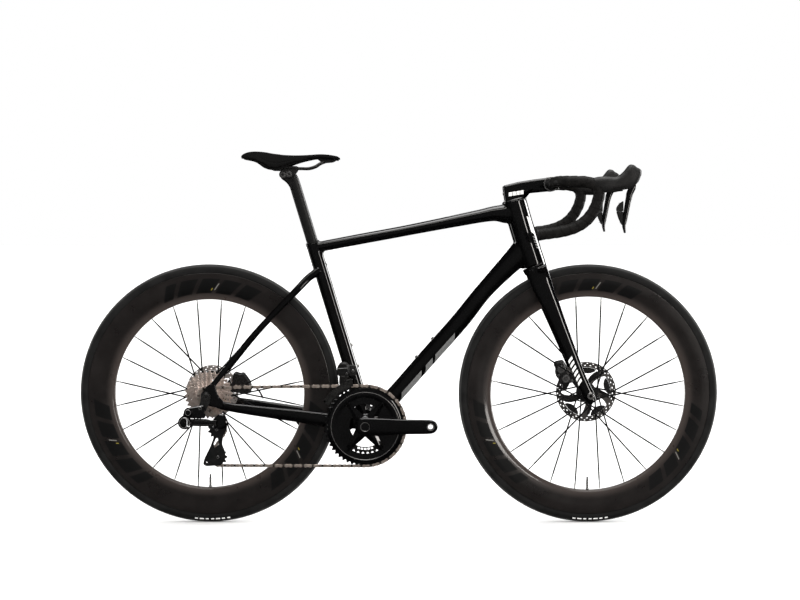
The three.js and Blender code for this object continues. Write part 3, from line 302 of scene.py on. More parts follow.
    def cyl(self, a, b, r, n=24, r2=None, bevel=0.5, hole=0.0, hex_recess=0.0, depth=2.5):
        """A round pin from a to b with chamfered ends; hex_recess is the half width of a hex socket in the b end."""
        a, b = np.array(a, float), np.array(b, float)
        d = b - a
        L = np.linalg.norm(d)
        d /= L
        s = np.cross(d, [0, 0, 1.0] if abs(d[2]) < 0.9 else [1.0, 0, 0])
        s /= np.linalg.norm(s)
        w = np.cross(d, s)
        r2 = r if r2 is None else r2
        t = np.arange(n) / n * TAU
        ring = lambda rad, h: [a + d * h + (s * math.cos(q) + w * math.sin(q)) * rad for q in t]
        bevel = min(bevel, r * 0.4, L * 0.3)
        rows = [(r - bevel, 0), (r, bevel), (r2, L - bevel), (r2 - bevel, L)]
        R = [ring(rad, h) for rad, h in rows]
        if hex_recess:
            n6 = lambda rad, h: [a + d * h + (s * math.cos(q) + w * math.sin(q)) * rad * (math.cos(math.pi / 6) / math.cos((q % (math.pi / 3)) - math.pi / 6)) for q in t]
            R += [n6(hex_recess * 1.12, L), n6(hex_recess * 1.12, L - depth)]
        return self.grid(np.array(R))

    def ring_of(self, count, radius, x, z, phase=0.0):
        return [(x + radius * math.cos(phase + i / count * TAU), z + radius * math.sin(phase + i / count * TAU), phase + i / count * TAU) for i in range(count)]

    def mirrored(self):
        """Adds the mirror image in Y of everything so far."""
        V = np.concatenate(self.v) * [1, -1, 1]
        F, UV = [list(reversed(f)) for f in self.f], [list(reversed(u)) for u in self.uv]
        return self._add(V, F, UV) if False else self._mirror(V, F, UV)

    def _mirror(self, V, F, UV):
        base = self.n
        self.v.append(V)
        self.f += [[i + base for i in face] for face in F]
        self.uv += UV
        self.n += len(V)
        return self

    def flip(self):
        """Mirrors everything in Y in place."""
        self.v = [v * [1, -1, 1] for v in self.v]
        self.f = [list(reversed(f)) for f in self.f]
        self.uv = [list(reversed(u)) for u in self.uv]
        return self

    def make(self, name, material, body=None, slot=None, stands=(), angle=38, smooth=True):
        V = np.concatenate(self.v) * MM
        me = bpy.data.meshes.new(name)
        me.from_pydata([tuple(p) for p in V], [], self.f)
        layer = me.uv_layers.new(name="UVMap")
        flat = [c for face in self.uv for uv in face for c in uv]
        layer.data.foreach_set("uv", flat)
        bm = bmesh.new()
        bm.from_mesh(me)
        bmesh.ops.recalc_face_normals(bm, faces=bm.faces)
        bm.to_mesh(me)
        bm.free()
        me.polygons.foreach_set("use_smooth", [smooth] * len(me.polygons))
        if smooth:
            me.set_sharp_from_angle(angle=math.radians(angle))
        me.materials.append(material)
        o = bpy.data.objects.new(name, me)
        bpy.context.scene.collection.objects.link(o)
        finish_piece(o, body, stands)
        return o


def finish_piece(o, body, stands=()):
    if body:
        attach(o, body)
    if stands:
        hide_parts(*([stands] if isinstance(stands, str) else stands))


def modified(o, kind, **settings):
    m = o.modifiers.new(kind.lower(), kind)
    for k, v in settings.items():
        setattr(m, k, v)
    return m


def applied(o):
    """Bakes the object's modifiers into its mesh."""
    deps = bpy.context.evaluated_depsgraph_get()
    deps.update()
    me = bpy.data.meshes.new_from_object(o.evaluated_get(deps), preserve_all_data_layers=True, depsgraph=deps)
    o.modifiers.clear()
    old = o.data
    o.data = me
    me.name = old.name + "_final"
    return o


def circle(x, z, r, n, phase=0.5):
    return [(x + r * math.cos((i + phase) / n * TAU), z + r * math.sin((i + phase) / n * TAU)) for i in range(n)]


# ------------------------------------------------------------------ materials
def start_mat(name):
    m = bpy.data.materials.new(name)
    m.use_nodes = True
    nt = m.node_tree
    nt.nodes.clear()
    out = nt.nodes.new("ShaderNodeOutputMaterial")
    b = nt.nodes.new("ShaderNodeBsdfPrincipled")
    nt.links.new(b.outputs[0], out.inputs[0])
    return m, nt, b


class N:
    """Short names for shader nodes."""

    def __init__(self, nt):
        self.nt = nt
        self.tc = nt.nodes.new("ShaderNodeTexCoord")

    def link(self, a, b):
        self.nt.links.new(a, b)

    def coords(self, kind="Object", scale=(1, 1, 1), loc=(0, 0, 0), rot=(0, 0, 0)):
        mp = self.nt.nodes.new("ShaderNodeMapping")
        mp.inputs["Scale"].default_value = scale
        mp.inputs["Location"].default_value = loc
        mp.inputs["Rotation"].default_value = rot
        self.link(self.tc.outputs[kind], mp.inputs["Vector"])
        return mp.outputs[0]

    def noise(self, vec, scale, detail=3.0, rough=0.55, dist=0.0):
        n = self.nt.nodes.new("ShaderNodeTexNoise")
        n.inputs["Scale"].default_value = scale
        n.inputs["Detail"].default_value = detail
        n.inputs["Roughness"].default_value = rough
        n.inputs["Distortion"].default_value = dist
        self.link(vec, n.inputs["Vector"])
        return n.outputs["Fac"]

    def voronoi(self, vec, scale, feature="F1", out="Distance"):
        n = self.nt.nodes.new("ShaderNodeTexVoronoi")
        n.feature = feature
        n.inputs["Scale"].default_value = scale
        self.link(vec, n.inputs["Vector"])
        return n.outputs[out]

    def wave(self, vec, scale, direction="X", kind="BANDS", profile="SIN", dist=0.0):
        n = self.nt.nodes.new("ShaderNodeTexWave")
        n.wave_type = kind
        if kind == "BANDS":
            n.bands_direction = direction
        n.wave_profile = profile
        n.inputs["Scale"].default_value = scale
        n.inputs["Distortion"].default_value = dist
        self.link(vec, n.inputs["Vector"])
        return n.outputs["Fac"]

    def math(self, op, a, b=None, c=None, clamp=False):
        n = self.nt.nodes.new("ShaderNodeMath")
        n.operation = op
        n.use_clamp = clamp
        for k, v in enumerate((a, b, c)):
            if v is None:
                continue
            if isinstance(v, (int, float)):
                n.inputs[k].default_value = v
            else:
                self.link(v, n.inputs[k])
        return n.outputs[0]

    def range(self, fac, a0, a1, b0, b1, kind="LINEAR"):
        n = self.nt.nodes.new("ShaderNodeMapRange")
        n.interpolation_type = kind
        self.link(fac, n.inputs["Value"])
        for k, v in (("From Min", a0), ("From Max", a1), ("To Min", b0), ("To Max", b1)):
            n.inputs[k].default_value = v
        return n.outputs[0]

    def mix(self, fac, a, b):
        n = self.nt.nodes.new("ShaderNodeMix")
        n.data_type = "RGBA"
        if isinstance(fac, (int, float)):
            n.inputs[0].default_value = fac
        else:
            self.link(fac, n.inputs[0])
        for k, v in ((6, a), (7, b)):
            if isinstance(v, tuple):
                n.inputs[k].default_value = (*v[:3], 1)
            else:
                self.link(v, n.inputs[k])
        return n.outputs[2]

    def bump(self, height, strength=0.2, distance=0.001, normal=None):
        n = self.nt.nodes.new("ShaderNodeBump")
        n.inputs["Strength"].default_value = strength
        n.inputs["Distance"].default_value = distance
        self.link(height, n.inputs["Height"])
        if normal is not None:
            self.link(normal, n.inputs["Normal"])
        return n.outputs[0]

    def split(self, vec):
        n = self.nt.nodes.new("ShaderNodeSeparateXYZ")
        self.link(vec, n.inputs[0])
        return n.outputs

    def edges(self):
        """Worn, lighter edges."""
        n = self.nt.nodes.new("ShaderNodeNewGeometry")
        return n.outputs["Pointiness"]


def simple(name, dark, light, rough=(0.3, 0.45), metal=0.0, scale=40.0, bump=0.05, bump_scale=900.0, coat=0.0, coat_rough=0.05,
           spec=0.5, coat_ior=1.5, wear=None, stretch=(1, 1, 1), distance=0.0004, sheen=0.0):
    """A finish with its own colour drift, roughness drift, fine surface and, where asked, lighter worn edges."""
    m, nt, b = start_mat(name)
    n = N(nt)
    v = n.coords("Object", stretch)
    drift = n.noise(v, scale, 4)
    col = n.mix(n.range(drift, 0.3, 0.7, 0, 1), dark, light)
    if wear:
        edge = n.range(n.edges(), 0.52, 0.62, 0, 0.75)
        col = n.mix(edge, col, wear)
    n.link(col, b.inputs["Base Color"])
    n.link(n.range(n.noise(v, scale * 2.3, 3), 0.3, 0.7, rough[0], rough[1]), b.inputs["Roughness"])
    b.inputs["Metallic"].default_value = metal
    b.inputs["Specular IOR Level"].default_value = spec
    b.inputs["Coat Weight"].default_value = coat
    b.inputs["Coat Roughness"].default_value = coat_rough
    b.inputs["Coat IOR"].default_value = coat_ior
    b.inputs["Sheen Weight"].default_value = sheen
    n.link(n.bump(n.noise(v, bump_scale, 2), bump, distance), b.inputs["Normal"])
    return m


# deep gloss lacquer over carbon
GLOSS = simple("gloss_lacquer", (0.0006, 0.0006, 0.0007), (0.0015, 0.0015, 0.0016), (0.12, 0.2), scale=9, bump=0.02, bump_scale=260, coat=1.0, coat_rough=0.03, coat_ior=1.5, spec=0.05)
PLASTIC = simple("matte_plastic", (0.0030, 0.0030, 0.0032), (0.0065, 0.0064, 0.0062), (0.38, 0.5), scale=60, bump=0.12, bump_scale=2600, spec=0.25)
ALLOY = simple("black_alloy", (0.0026, 0.0026, 0.0028), (0.0062, 0.0061, 0.0060), (0.22, 0.34), metal=0.25, scale=70, bump=0.05, bump_scale=1800, wear=(0.028, 0.027, 0.026), spec=0.28)
GREY_ALLOY = simple("grey_alloy", (0.05, 0.05, 0.052), (0.1, 0.098, 0.096), (0.25, 0.36), metal=0.85, scale=70, bump=0.05, bump_scale=1600, wear=(0.4, 0.39, 0.38))
STEEL = simple("bright_steel", (0.50, 0.48, 0.47), (0.74, 0.72, 0.70), (0.28, 0.42), metal=1.0, scale=120, bump=0.05, bump_scale=2400)
SPOKE = simple("spoke_black", (0.003, 0.003, 0.0032), (0.008, 0.008, 0.0082), (0.5, 0.62), metal=0.0, scale=50, bump=0.04, bump_scale=1500, spec=0.08)
RUBBER = simple("plain_rubber", (0.005, 0.005, 0.005), (0.010, 0.0098, 0.0096), (0.6, 0.8), scale=50, bump=0.15, bump_scale=2200, spec=0.25)
BOLT = simple("bolt_steel", (0.05, 0.05, 0.052), (0.14, 0.138, 0.135), (0.22, 0.34), metal=0.9, scale=160, bump=0.05, bump_scale=2600, wear=(0.5, 0.49, 0.48))
RAIL = simple("rail_satin", (0.02, 0.0195, 0.019), (0.05, 0.049, 0.047), (0.24, 0.34), metal=0.8, scale=90, bump=0.05, bump_scale=1900)
SILVER = simple("silver_print", (0.11, 0.11, 0.11), (0.20, 0.20, 0.195), (0.25, 0.4), metal=0.25, scale=300, bump=0.03, bump_scale=3000)
WHITE = simple("white_print", (0.72, 0.72, 0.7), (0.85, 0.85, 0.83), (0.25, 0.4), scale=80, bump=0.02, bump_scale=2000)


def matte_carbon():
    m, nt, b = start_mat("matte_carbon")
    n = N(nt)
    v = n.coords("UV", (34, 420, 1))
    x, y, _ = n.split(v)
    # a two-over-two twill: bands that step across the tube as they go along it
    phase = n.math("ADD", x, y)
    band = n.math("PINGPONG", phase, 1.0)
    tow = n.noise(n.coords("Object", (60, 60, 60)), 10, 3)
    fac = n.math("MULTIPLY", n.range(band, 0.3, 0.7, 0.15, 0.85, "SMOOTHSTEP"), n.range(tow, 0.3, 0.7, 0.7, 1.0))
    n.link(n.mix(fac, (0.0032, 0.0032, 0.0034), (0.0085, 0.0083, 0.0080)), b.inputs["Base Color"])
    n.link(n.range(tow, 0.3, 0.7, 0.36, 0.48), b.inputs["Roughness"])
    b.inputs["Specular IOR Level"].default_value = 0.28
    b.inputs["Coat Weight"].default_value = 0.06
    b.inputs["Coat Roughness"].default_value = 0.3
    n.link(n.bump(band, 0.06, 0.0003), b.inputs["Normal"])
    return m


CARBON = matte_carbon()


def tape_mat():
    m, nt, b = start_mat("bar_tape_weave")
    n = N(nt)
    v = n.coords("UV", (26, 330, 1))
    x, y, _ = n.split(v)
    # rows of small pressed dots, every other row offset
    row = n.math("FLOOR", y)
    xs = n.math("ADD", x, n.math("MULTIPLY", row, 0.5))
    fx = n.math("SUBTRACT", n.math("FRACT", xs), 0.5)
    fy = n.math("SUBTRACT", n.math("FRACT", y), 0.5)
    d = n.math("SQRT", n.math("ADD", n.math("MULTIPLY", fx, fx), n.math("MULTIPLY", fy, fy)))
    dot = n.range(d, 0.18, 0.34, 0, 1, "SMOOTHSTEP")
    grime = n.noise(n.coords("Object"), 55, 4)
    n.link(n.mix(dot, (0.0014, 0.0013, 0.0013), n.mix(n.range(grime, 0.3, 0.7, 0, 1), (0.0036, 0.0033, 0.0031), (0.0085, 0.0076, 0.0068))), b.inputs["Base Color"])
    n.link(n.range(grime, 0.3, 0.7, 0.42, 0.6), b.inputs["Roughness"])
    b.inputs["Sheen Weight"].default_value = 0.0
    b.inputs["Specular IOR Level"].default_value = 0.12
    n.link(n.bump(dot, 0.5, 0.0006, n.bump(n.noise(n.coords("Object"), 1600, 2), 0.15, 0.0004)), b.inputs["Normal"])
    return m


TAPE = tape_mat()


def hood_mat():
    m, nt, b = start_mat("hood_rubber")
    n = N(nt)
    v = n.coords("Object")
    cells = n.voronoi(v, 420, "SMOOTH_F1")
    grime = n.noise(v, 40, 4)
    n.link(n.mix(n.range(grime, 0.3, 0.7, 0, 1), (0.0036, 0.0033, 0.0033), (0.0075, 0.0069, 0.0069)), b.inputs["Base Color"])
    n.link(n.range(grime, 0.3, 0.7, 0.42, 0.58), b.inputs["Roughness"])
    b.inputs["Specular IOR Level"].default_value = 0.35
    n.link(n.bump(cells, 0.35, 0.0005), b.inputs["Normal"])
    return m


HOOD_RUBBER = hood_mat()


def tyre_mat(cx):
    m, nt, b = start_mat("tyre_rubber_" + ("front" if cx > 0 else "rear"))
    n = N(nt)
    v = n.coords("Object", loc=(-cx * MM, 0, -AXLE_Z * MM))
    x, y, z = n.split(v)
    r = n.math("SQRT", n.math("ADD", n.math("MULTIPLY", x, x), n.math("MULTIPLY", z, z)))
    a = n.math("ARCTAN2", z, x)
    grime = n.noise(v, 30, 4)
    tread = n.range(r, 0.3335, 0.3365, 0, 1, "SMOOTHSTEP")
    side = n.mix(n.range(grime, 0.3, 0.7, 0, 1), (0.0050, 0.0049, 0.0048), (0.0100, 0.0098, 0.0096))
    crown = n.mix(n.range(grime, 0.3, 0.7, 0, 1), (0.022, 0.0218, 0.0216), (0.038, 0.0378, 0.0372))
    n.link(n.mix(tread, side, crown), b.inputs["Base Color"])
    n.link(n.range(grime, 0.3, 0.7, 0.62, 0.82), b.inputs["Roughness"])
    b.inputs["Specular IOR Level"].default_value = 0.15
    # fine file tread on the shoulders and casing threads on the sidewall
    file_tread = n.math("PINGPONG", n.math("ADD", n.math("MULTIPLY", a, 190.0), n.math("MULTIPLY", n.math("ABSOLUTE", y), 900.0)), 1.0)
    casing = n.math("PINGPONG", n.math("ADD", n.math("MULTIPLY", a, 420.0), n.math("MULTIPLY", r, 900.0)), 1.0)
    h = n.math("ADD", n.math("MULTIPLY", file_tread, tread), n.math("MULTIPLY", casing, n.math("MULTIPLY", n.math("SUBTRACT", 1.0, tread), 0.25)))
    n.link(n.bump(h, 0.3, 0.0006), b.inputs["Normal"])
    return m


def rim_mat(cx, nose):
    m, nt, b = start_mat("rim_carbon_" + ("front" if cx > 0 else "rear"))
    n = N(nt)
    v = n.coords("Object", loc=(-cx * MM, 0, -AXLE_Z * MM))
    x, y, z = n.split(v)
    r = n.math("SQRT", n.math("ADD", n.math("MULTIPLY", x, x), n.math("MULTIPLY", z, z)))
    a = n.math("ARCTAN2", z, x)
    grain = n.noise(v, 18, 5, 0.6)
    fibres = n.noise(n.coords("Object", (900, 200, 900)), 1.0, 2)
    # slanted plain blocks, three groups round the rim
    third = n.math("FRACT", n.math("ADD", n.math("DIVIDE", a, TAU / 3), 0.75))
    slant = n.math("ADD", third, n.math("MULTIPLY", n.math("SUBTRACT", r, 0.28), 1.0))
    group = n.math("MULTIPLY", n.range(slant, 0.29, 0.295, 0, 1), n.range(slant, 0.70, 0.705, 1, 0))
    stripes = n.math("GREATER_THAN", n.math("FRACT", n.math("MULTIPLY", slant, 11.0)), 0.22)
    band = n.math("MULTIPLY", n.range(r, (nose + 17) * MM, (nose + 17.6) * MM, 0, 1), n.range(r, (RIM_R - 14) * MM, (RIM_R - 13.4) * MM, 1, 0))
    mark = n.math("MULTIPLY", n.math("MULTIPLY", group, stripes), band)
    base = n.mix(n.range(grain, 0.3, 0.7, 0, 1), (0.0045, 0.0036, 0.0034), (0.0100, 0.0080, 0.0075))
    base = n.mix(n.range(fibres, 0.35, 0.65, 0, 0.25), base, (0.015, 0.012, 0.011))
    # painted highlight: the base colour is lightened towards the rim's nose, a warm gradient that stands in for the
    # sheen light puts there
    near = n.range(r, (nose + 1.0) * MM, (nose + 27) * MM, 1, 0, "SMOOTHSTEP")
    base = n.mix(n.math("MULTIPLY", near, 0.8), base, (0.046, 0.036, 0.032))
    col = n.mix(mark, base, (0.0020, 0.0020, 0.0022))
    # small plain accents between two of the blocks
    def dab(s0, s1, r0, r1):
        return n.math("MULTIPLY", n.math("MULTIPLY", n.range(slant, s0, s0 + 0.0006, 0, 1), n.range(slant, s1, s1 + 0.0006, 1, 0)), n.math("MULTIPLY", n.range(r, r0 * MM, (r0 + 0.5) * MM, 0, 1), n.range(r, r1 * MM, (r1 + 0.5) * MM, 1, 0)))
    mid = (nose + RIM_R) / 2
    col = n.mix(dab(0.4640, 0.4690, mid - 9, mid + 9), col, (0.13, 0.125, 0.115))
    col = n.mix(dab(0.4790, 0.4830, mid - 10, mid - 4), col, (0.20, 0.16, 0.02))
    n.link(col, b.inputs["Base Color"])
    n.link(n.math("ADD", n.range(grain, 0.3, 0.7, 0.26, 0.36), n.math("MULTIPLY", mark, 0.2)), b.inputs["Roughness"])
    b.inputs["Specular IOR Level"].default_value = 0.2
    b.inputs["Coat Weight"].default_value = 0.5
    b.inputs["Coat Roughness"].default_value = 0.08
    n.link(n.bump(fibres, 0.05, 0.0003), b.inputs["Normal"])
    return m


def rotor_mat(cx):
    m, nt, b = start_mat("rotor_steel_" + ("front" if cx > 0 else "rear"))
    n = N(nt)
    v = n.coords("Object", loc=(-cx * MM, 0, -AXLE_Z * MM))
    x, y, z = n.split(v)
    r = n.math("SQRT", n.math("ADD", n.math("MULTIPLY", x, x), n.math("MULTIPLY", z, z)))
    rings = n.nt.nodes.new("ShaderNodeCombineXYZ")
    n.link(n.math("MULTIPLY", r, 2200.0), rings.inputs[0])
    scratch = n.noise(rings.outputs[0], 1.0, 3)
    # the front and rear rotors are one steel drawn as shaded and lit copies: the rear one's lighter, less metallic tone
    # is painted light, the front one's darker tone painted shade
    n.link(n.mix(n.range(scratch, 0.3, 0.7, 0, 1), (0.15, 0.142, 0.138) if cx > 0 else (0.44, 0.40, 0.385), (0.28, 0.265, 0.255) if cx > 0 else (0.70, 0.65, 0.62)), b.inputs["Base Color"])
    n.link(n.range(scratch, 0.3, 0.7, 0.22, 0.4), b.inputs["Roughness"])
    b.inputs["Metallic"].default_value = 1.0 if cx > 0 else 0.8
    n.link(n.bump(scratch, 0.08, 0.0002), b.inputs["Normal"])
    return m


def bronze_mat(name, dark, light, metal=1.0):
    m, nt, b = start_mat(name)
    n = N(nt)
    v = n.coords("Object")
    oil = n.noise(v, 60, 4)
    n.link(n.mix(n.range(oil, 0.3, 0.7, 0, 1), dark, light), b.inputs["Base Color"])
    n.link(n.range(n.noise(v, 140, 3), 0.3, 0.7, 0.34, 0.5), b.inputs["Roughness"])
    b.inputs["Metallic"].default_value = metal
    n.link(n.bump(n.noise(v, 2000, 2), 0.06, 0.0003), b.inputs["Normal"])
    return m


COG = bronze_mat("cassette_nickel", (0.60, 0.49, 0.435), (0.88, 0.76, 0.69), 0.88)
# painted shade: inner plates and rollers are much darker than the outer plates, standing in for the shade in the gaps
# between the links
CHAIN_SHADE = bronze_mat("chain_inner_plate", (0.07, 0.06, 0.053), (0.14, 0.12, 0.108), 0.9)
CHAIN = bronze_mat("chain_nickel", (0.42, 0.345, 0.30), (0.70, 0.60, 0.52), 0.88)


def saddle_mat():
    m, nt, b = start_mat("saddle_microfibre")
    n = N(nt)
    v = n.coords("Object")
    cells = n.voronoi(v, 900, "SMOOTH_F1")
    grime = n.noise(v, 26, 4)
    n.link(n.mix(n.range(grime, 0.3, 0.7, 0, 1), (0.0012, 0.00115, 0.00115), (0.0030, 0.0028, 0.0027)), b.inputs["Base Color"])
    n.link(n.range(grime, 0.3, 0.7, 0.62, 0.78), b.inputs["Roughness"])
    b.inputs["Sheen Weight"].default_value = 0.0
    b.inputs["Specular IOR Level"].default_value = 0.025
    n.link(n.bump(cells, 0.25, 0.0004, n.bump(n.noise(v, 220, 3), 0.08, 0.0005)), b.inputs["Normal"])
    return m


SADDLE = saddle_mat()

# ------------------------------------------------------------------ frame
DOWN_TUBE = [
    [-76, 266, 24, 29], [3.8, 353.9, 22, 24], [85.5, 446.8, 22.8, 22], [167.3, 539.6, 23, 21.5],
    [218.3, 604.5, 22, 21.5], [281, 672, 26, 22], [331, 722, 33, 23]]
TOP_TUBE = [
    [-222, 724, 13, 14], [-180.5, 731.9, 13.7, 17], [-101.8, 746.9, 13.7, 20], [3, 766.2, 13.7, 21.5],
    [107.8, 786.6, 14.8, 22], [160.2, 796.9, 16, 22], [212.5, 807.1, 17.2, 22.5], [251.8, 813.8, 20, 23],
    [285, 814, 26, 24], [312, 818, 27, 24]]


def seat_station(along, a, b):
    p = seat_at(along)
    return [p[0], p[2], a, b, 0]


SEAT_TUBE = [seat_station(SEAT_TOP, 18.4, 15.2), seat_station(-20, 18.4, 15.2), seat_station(-180, 18.3, 15.2),
             seat_station(-330, 18.6, 17), seat_station(-430, 20, 24)]


def fillet_loop():
    """The web that rounds the corner between the seat tube and the underside of the top tube."""
    a_, c_, e_ = seat_at(SEAT_TOP - 46, 17.4), seat_at(SEAT_TOP - 18, 17.6), (-172.0, 0, 720.6)
    out_ = []
    for t in np.linspace(0, 1, 9):
        out_.append(((1 - t) ** 2 * a_[0] + 2 * t * (1 - t) * c_[0] + t * t * e_[0], (1 - t) ** 2 * a_[2] + 2 * t * (1 - t) * c_[2] + t * t * e_[2]))
    return out_ + [(e_[0], e_[2] + 6), (c_[0] - 8, c_[2] + 9), (a_[0] - 7, a_[2] + 2)]


def head_station(along, front, rear, half):
    p = steer(along, (front + rear) / 2)
    return [p[0], p[2], (front - rear) / 2, half, 0]


SEAT_FILLET = fillet_loop()
HEAD_TUBE = [head_station(HEAD_LOW, 36.5, -28, 29.5), head_station(420, 35, -29, 29), head_station(480, 34.5, -29, 28.5),
             head_station(HEAD_TOP, 35.5, -29, 28.5)]
CHAIN_STAY = [
    [-122, 267, 20, 12, 20], [-140, 269, 19.5, 8.5, 30], [-195, 274.6, 18.5, 8, 31], [-260, 285, 16.5, 8, 39],
    [-320, 294, 15, 8, 49], [-400, 306, 12.5, 7, 62], [-443, 313.4, 11, 6.5, 68.5], [-468, 321, 11, 4.6, 74],
    [-486, 331, 12, 3.8, 75.1]]
SEAT_STAY = [
    [-206, 667, 11, 9, 8], [-237, 645, 9.5, 8, 14], [-262, 619.5, 9, 6.5, 23.5], [-290, 590, 8.5, 6, 29.5],
    [-379, 496, 7.5, 5.5, 50], [-440, 421, 7, 5, 63.5], [-470, 384, 7, 4, 72], [-490, 358, 8, 3.8, 75.1]]
DROPOUT = [(-513, 334), (-510.5, 349), (-500, 366), (-486, 374), (-474, 368), (-470, 350), (-462, 336), (-452, 327),
           (-455, 308), (-478, 313), (-503, 321)]


def rounded(points, step=4.0, n=3, amount=None):
    """Cuts each corner of an outline with a short curve."""
    P = [np.array(p, float) for p in points]
    out = []
    for i, p in enumerate(P):
        a, b = P[i - 1], P[(i + 1) % len(P)]
        r = step
        la, lb = np.linalg.norm(a - p), np.linalg.norm(b - p)
        r = min(r, la * 0.45, lb * 0.45)
        s, e = p + (a - p) / la * r, p + (b - p) / lb * r
        for k in range(n + 1):
            t = k / n
            out.append(tuple((1 - t) ** 2 * s + 2 * t * (1 - t) * p + t**2 * e))
    return out


def blended_shell(name, shells, material, body, stands, voxel=2.0, passes=8, cuts=()):
    """Joins tubes into one moulded shell: a fine remesh, relaxed so that the joints between tubes become fillets."""
    b = Build()
    for s in shells:
        s(b)
    o = b.make(name, material)
    source = o.data.copy()
    m = modified(o, "REMESH", mode="VOXEL", voxel_size=voxel * MM, adaptivity=0.0)
    m.use_smooth_shade = True
    applied(o)
    s = modified(o, "SMOOTH", factor=0.5, iterations=passes)
    applied(o)
    # away from the joints the skin goes back to the exact tubes
    me = o.data
    tree_src = [bvh_of(x) for x in shells]
    co = np.zeros(len(me.vertices) * 3)
    me.vertices.foreach_get("co", co)
    co = co.reshape(-1, 3)
    out = co.copy()
    for i, c in enumerate(co):
        near = []
        p = Vector(c)
        for t in tree_src:
            hit = t.find_nearest(p, 0.03)
            if hit[0] is not None:
                near.append((hit[3], hit[0], hit[1]))
        if not near:
            continue
        near.sort(key=lambda x: x[0])
        second = near[1][0] if len(near) > 1 else 1.0
        w = min(max((second - 0.004) / 0.010, 0.0), 1.0)
        w = w * w * (3 - 2 * w)
        q = np.array(near[0][1])
        out[i] = c + (q - c) * w if near[0][0] < 0.004 else c
    me.vertices.foreach_set("co", out.reshape(-1))
    me.update()
    me.materials.clear()
    me.materials.append(material)
    me.polygons.foreach_set("use_smooth", [True] * len(me.polygons))
    me.set_sharp_from_angle(angle=math.radians(50))
    finish_piece(o, body, stands)
    return o


from mathutils.bvhtree import BVHTree


def bvh_of(make_shell):
    b = Build()
    make_shell(b)
    V = np.concatenate(b.v) * MM
    return BVHTree.FromPolygons([tuple(p) for p in V], b.f)


def round_bar(b, a, c, r, n=64, edge=2.0):
    """A drum from a to c with a rounded rim."""
    a, c = np.array(a, float), np.array(c, float)
    d = (c - a) / np.linalg.norm(c - a)
    pts = [a + d * edge * (1 - math.cos(t)) for t in np.linspace(0, math.pi / 2, 5)]
    pts += [a + (c - a) * f for f in np.linspace(0, 1, 12)[1:-1]]
    pts += [c - d * edge * (1 - math.cos(t)) for t in np.linspace(math.pi / 2, 0, 5)]
    L = np.linalg.norm(c - a)
    rad = []
    for p in pts:
        h = np.dot(p - a, d)
        e = min(h, L - h)
        rad.append(r - (edge - math.sqrt(max(edge**2 - (edge - e) ** 2, 0))) if e < edge else r)
    t = np.cross(d, [0, 0, 1.0] if abs(d[2]) < 0.9 else [1.0, 0, 0])
    t /= np.linalg.norm(t)
    w = np.cross(d, t)
    q = np.arange(n) / n * TAU
    P = np.array([[p + (t * math.cos(x) + w * math.sin(x)) * rr for x in q] for p, rr in zip(pts, rad)])
    b.grid(P)
    return b


frame_shells = [
    lambda b: b.loft(DOWN_TUBE, 72, 120, 2.6),
    lambda b: b.loft(TOP_TUBE, 72, 120, 2.6),
    lambda b: b.loft(SEAT_TUBE, 72, 100, 2.4),
    lambda b: b.prism(SEAT_FILLET, [], -10.5, 10.5, 3.5),
    lambda b: b.loft(HEAD_TUBE, 96, 50, 2.2),
    lambda b: round_bar(b, (BB_X, -43, BB_Z), (BB_X, 43, BB_Z), 27, 96),
]
frame_shell = blended_shell("frame_shell", frame_shells, GLOSS, "frame", "main_frame", voxel=2.0, passes=10)


def mirror_station(st):
    return [[s[0], s[1], s[2], s[3], -s[4]] for s in st]


rear_shells = [
    lambda b: b.loft(CHAIN_STAY, 40, 90, 2.6),
    lambda b: b.loft(SEAT_STAY, 40, 90, 2.6),
    lambda b: b.prism(rounded(DROPOUT, 5), [], 71.4, 79, 0.8),
    lambda b: b.loft(mirror_station(CHAIN_STAY), 40, 90, 2.6),
    lambda b: b.loft(mirror_station(SEAT_STAY), 40, 90, 2.6),
    lambda b: b.prism(rounded(DROPOUT, 5), [], -79, -71.4, 0.8),
    lambda b: b.grid(loft_points([[-116, 287, 14, 26, 0], [-116, 268, 18, 27, 0], [-116, 251, 14, 26, 0]], 40, 12, 4)),
    lambda b: b.loft([[-196, 688, 12, 9, 0], [-214, 664, 11, 12, 0], [-228, 648, 8, 11, 0]], 36, 16, 2.6),
]
rear_shell = blended_shell("rear_triangle_shell", rear_shells, GLOSS, "frame", "rear_triangle", voxel=1.5, passes=6)

# cups, axles, wedge
b = Build()
for s in (-1, 1):
    prof = [(12.6, 43.3), (21.5, 43.3), (21.9, 43.8), (21.9, 46.0), (21.2, 46.6), (19.4, 47.0), (17.6, 47.2), (17.2, 46.6), (13.4, 46.6), (12.6, 46.8)]
    c = Build().lathe([(r, y * s) for r, y in prof], BB_X, BB_Z, 64)
    b._mirror(np.concatenate(c.v), c.f, c.uv)
    # tool notches round the rim
    for x, z, t in b.ring_of(16, 21.6, BB_X, BB_Z):
        b.cyl((x, 43.6 * s, z), (x, 46.0 * s, z), 1.2, 8)
b.make("bottom_bracket_cups", ALLOY, "frame", "black_alloy", ("bottom_bracket_cup_right", "bottom_bracket_cup_left"))


def hex_bolt(b, a, c, r, head=None, n=32):
    """A socket cap: a chamfered drum whose far end has a six-sided recess."""
    a, c = np.array(a, float), np.array(c, float)
    d = (c - a) / np.linalg.norm(c - a)
    L = np.linalg.norm(c - a)
    s = np.cross(d, [0, 0, 1.0] if abs(d[2]) < 0.9 else [1.0, 0, 0])
    s /= np.linalg.norm(s)
    w = np.cross(d, s)
    q = np.arange(n) / n * TAU
    six = lambda x: math.cos(math.pi / 6) / math.cos((x % (math.pi / 3)) - math.pi / 6)
    rows = [(r, 0.0, 0), (r, L - r * 0.14, 0), (r * 0.86, L, 0), (r * 0.52, L, 1), (r * 0.5, L - r * 0.08, 1), (r * 0.48, L - r * 0.7, 1)]
    P = np.array([[a + d * h + (s * math.cos(x) + w * math.sin(x)) * rad * (six(x) if hx else 1) for x in q] for rad, h, hx in rows])
    b.grid(P)
    return b


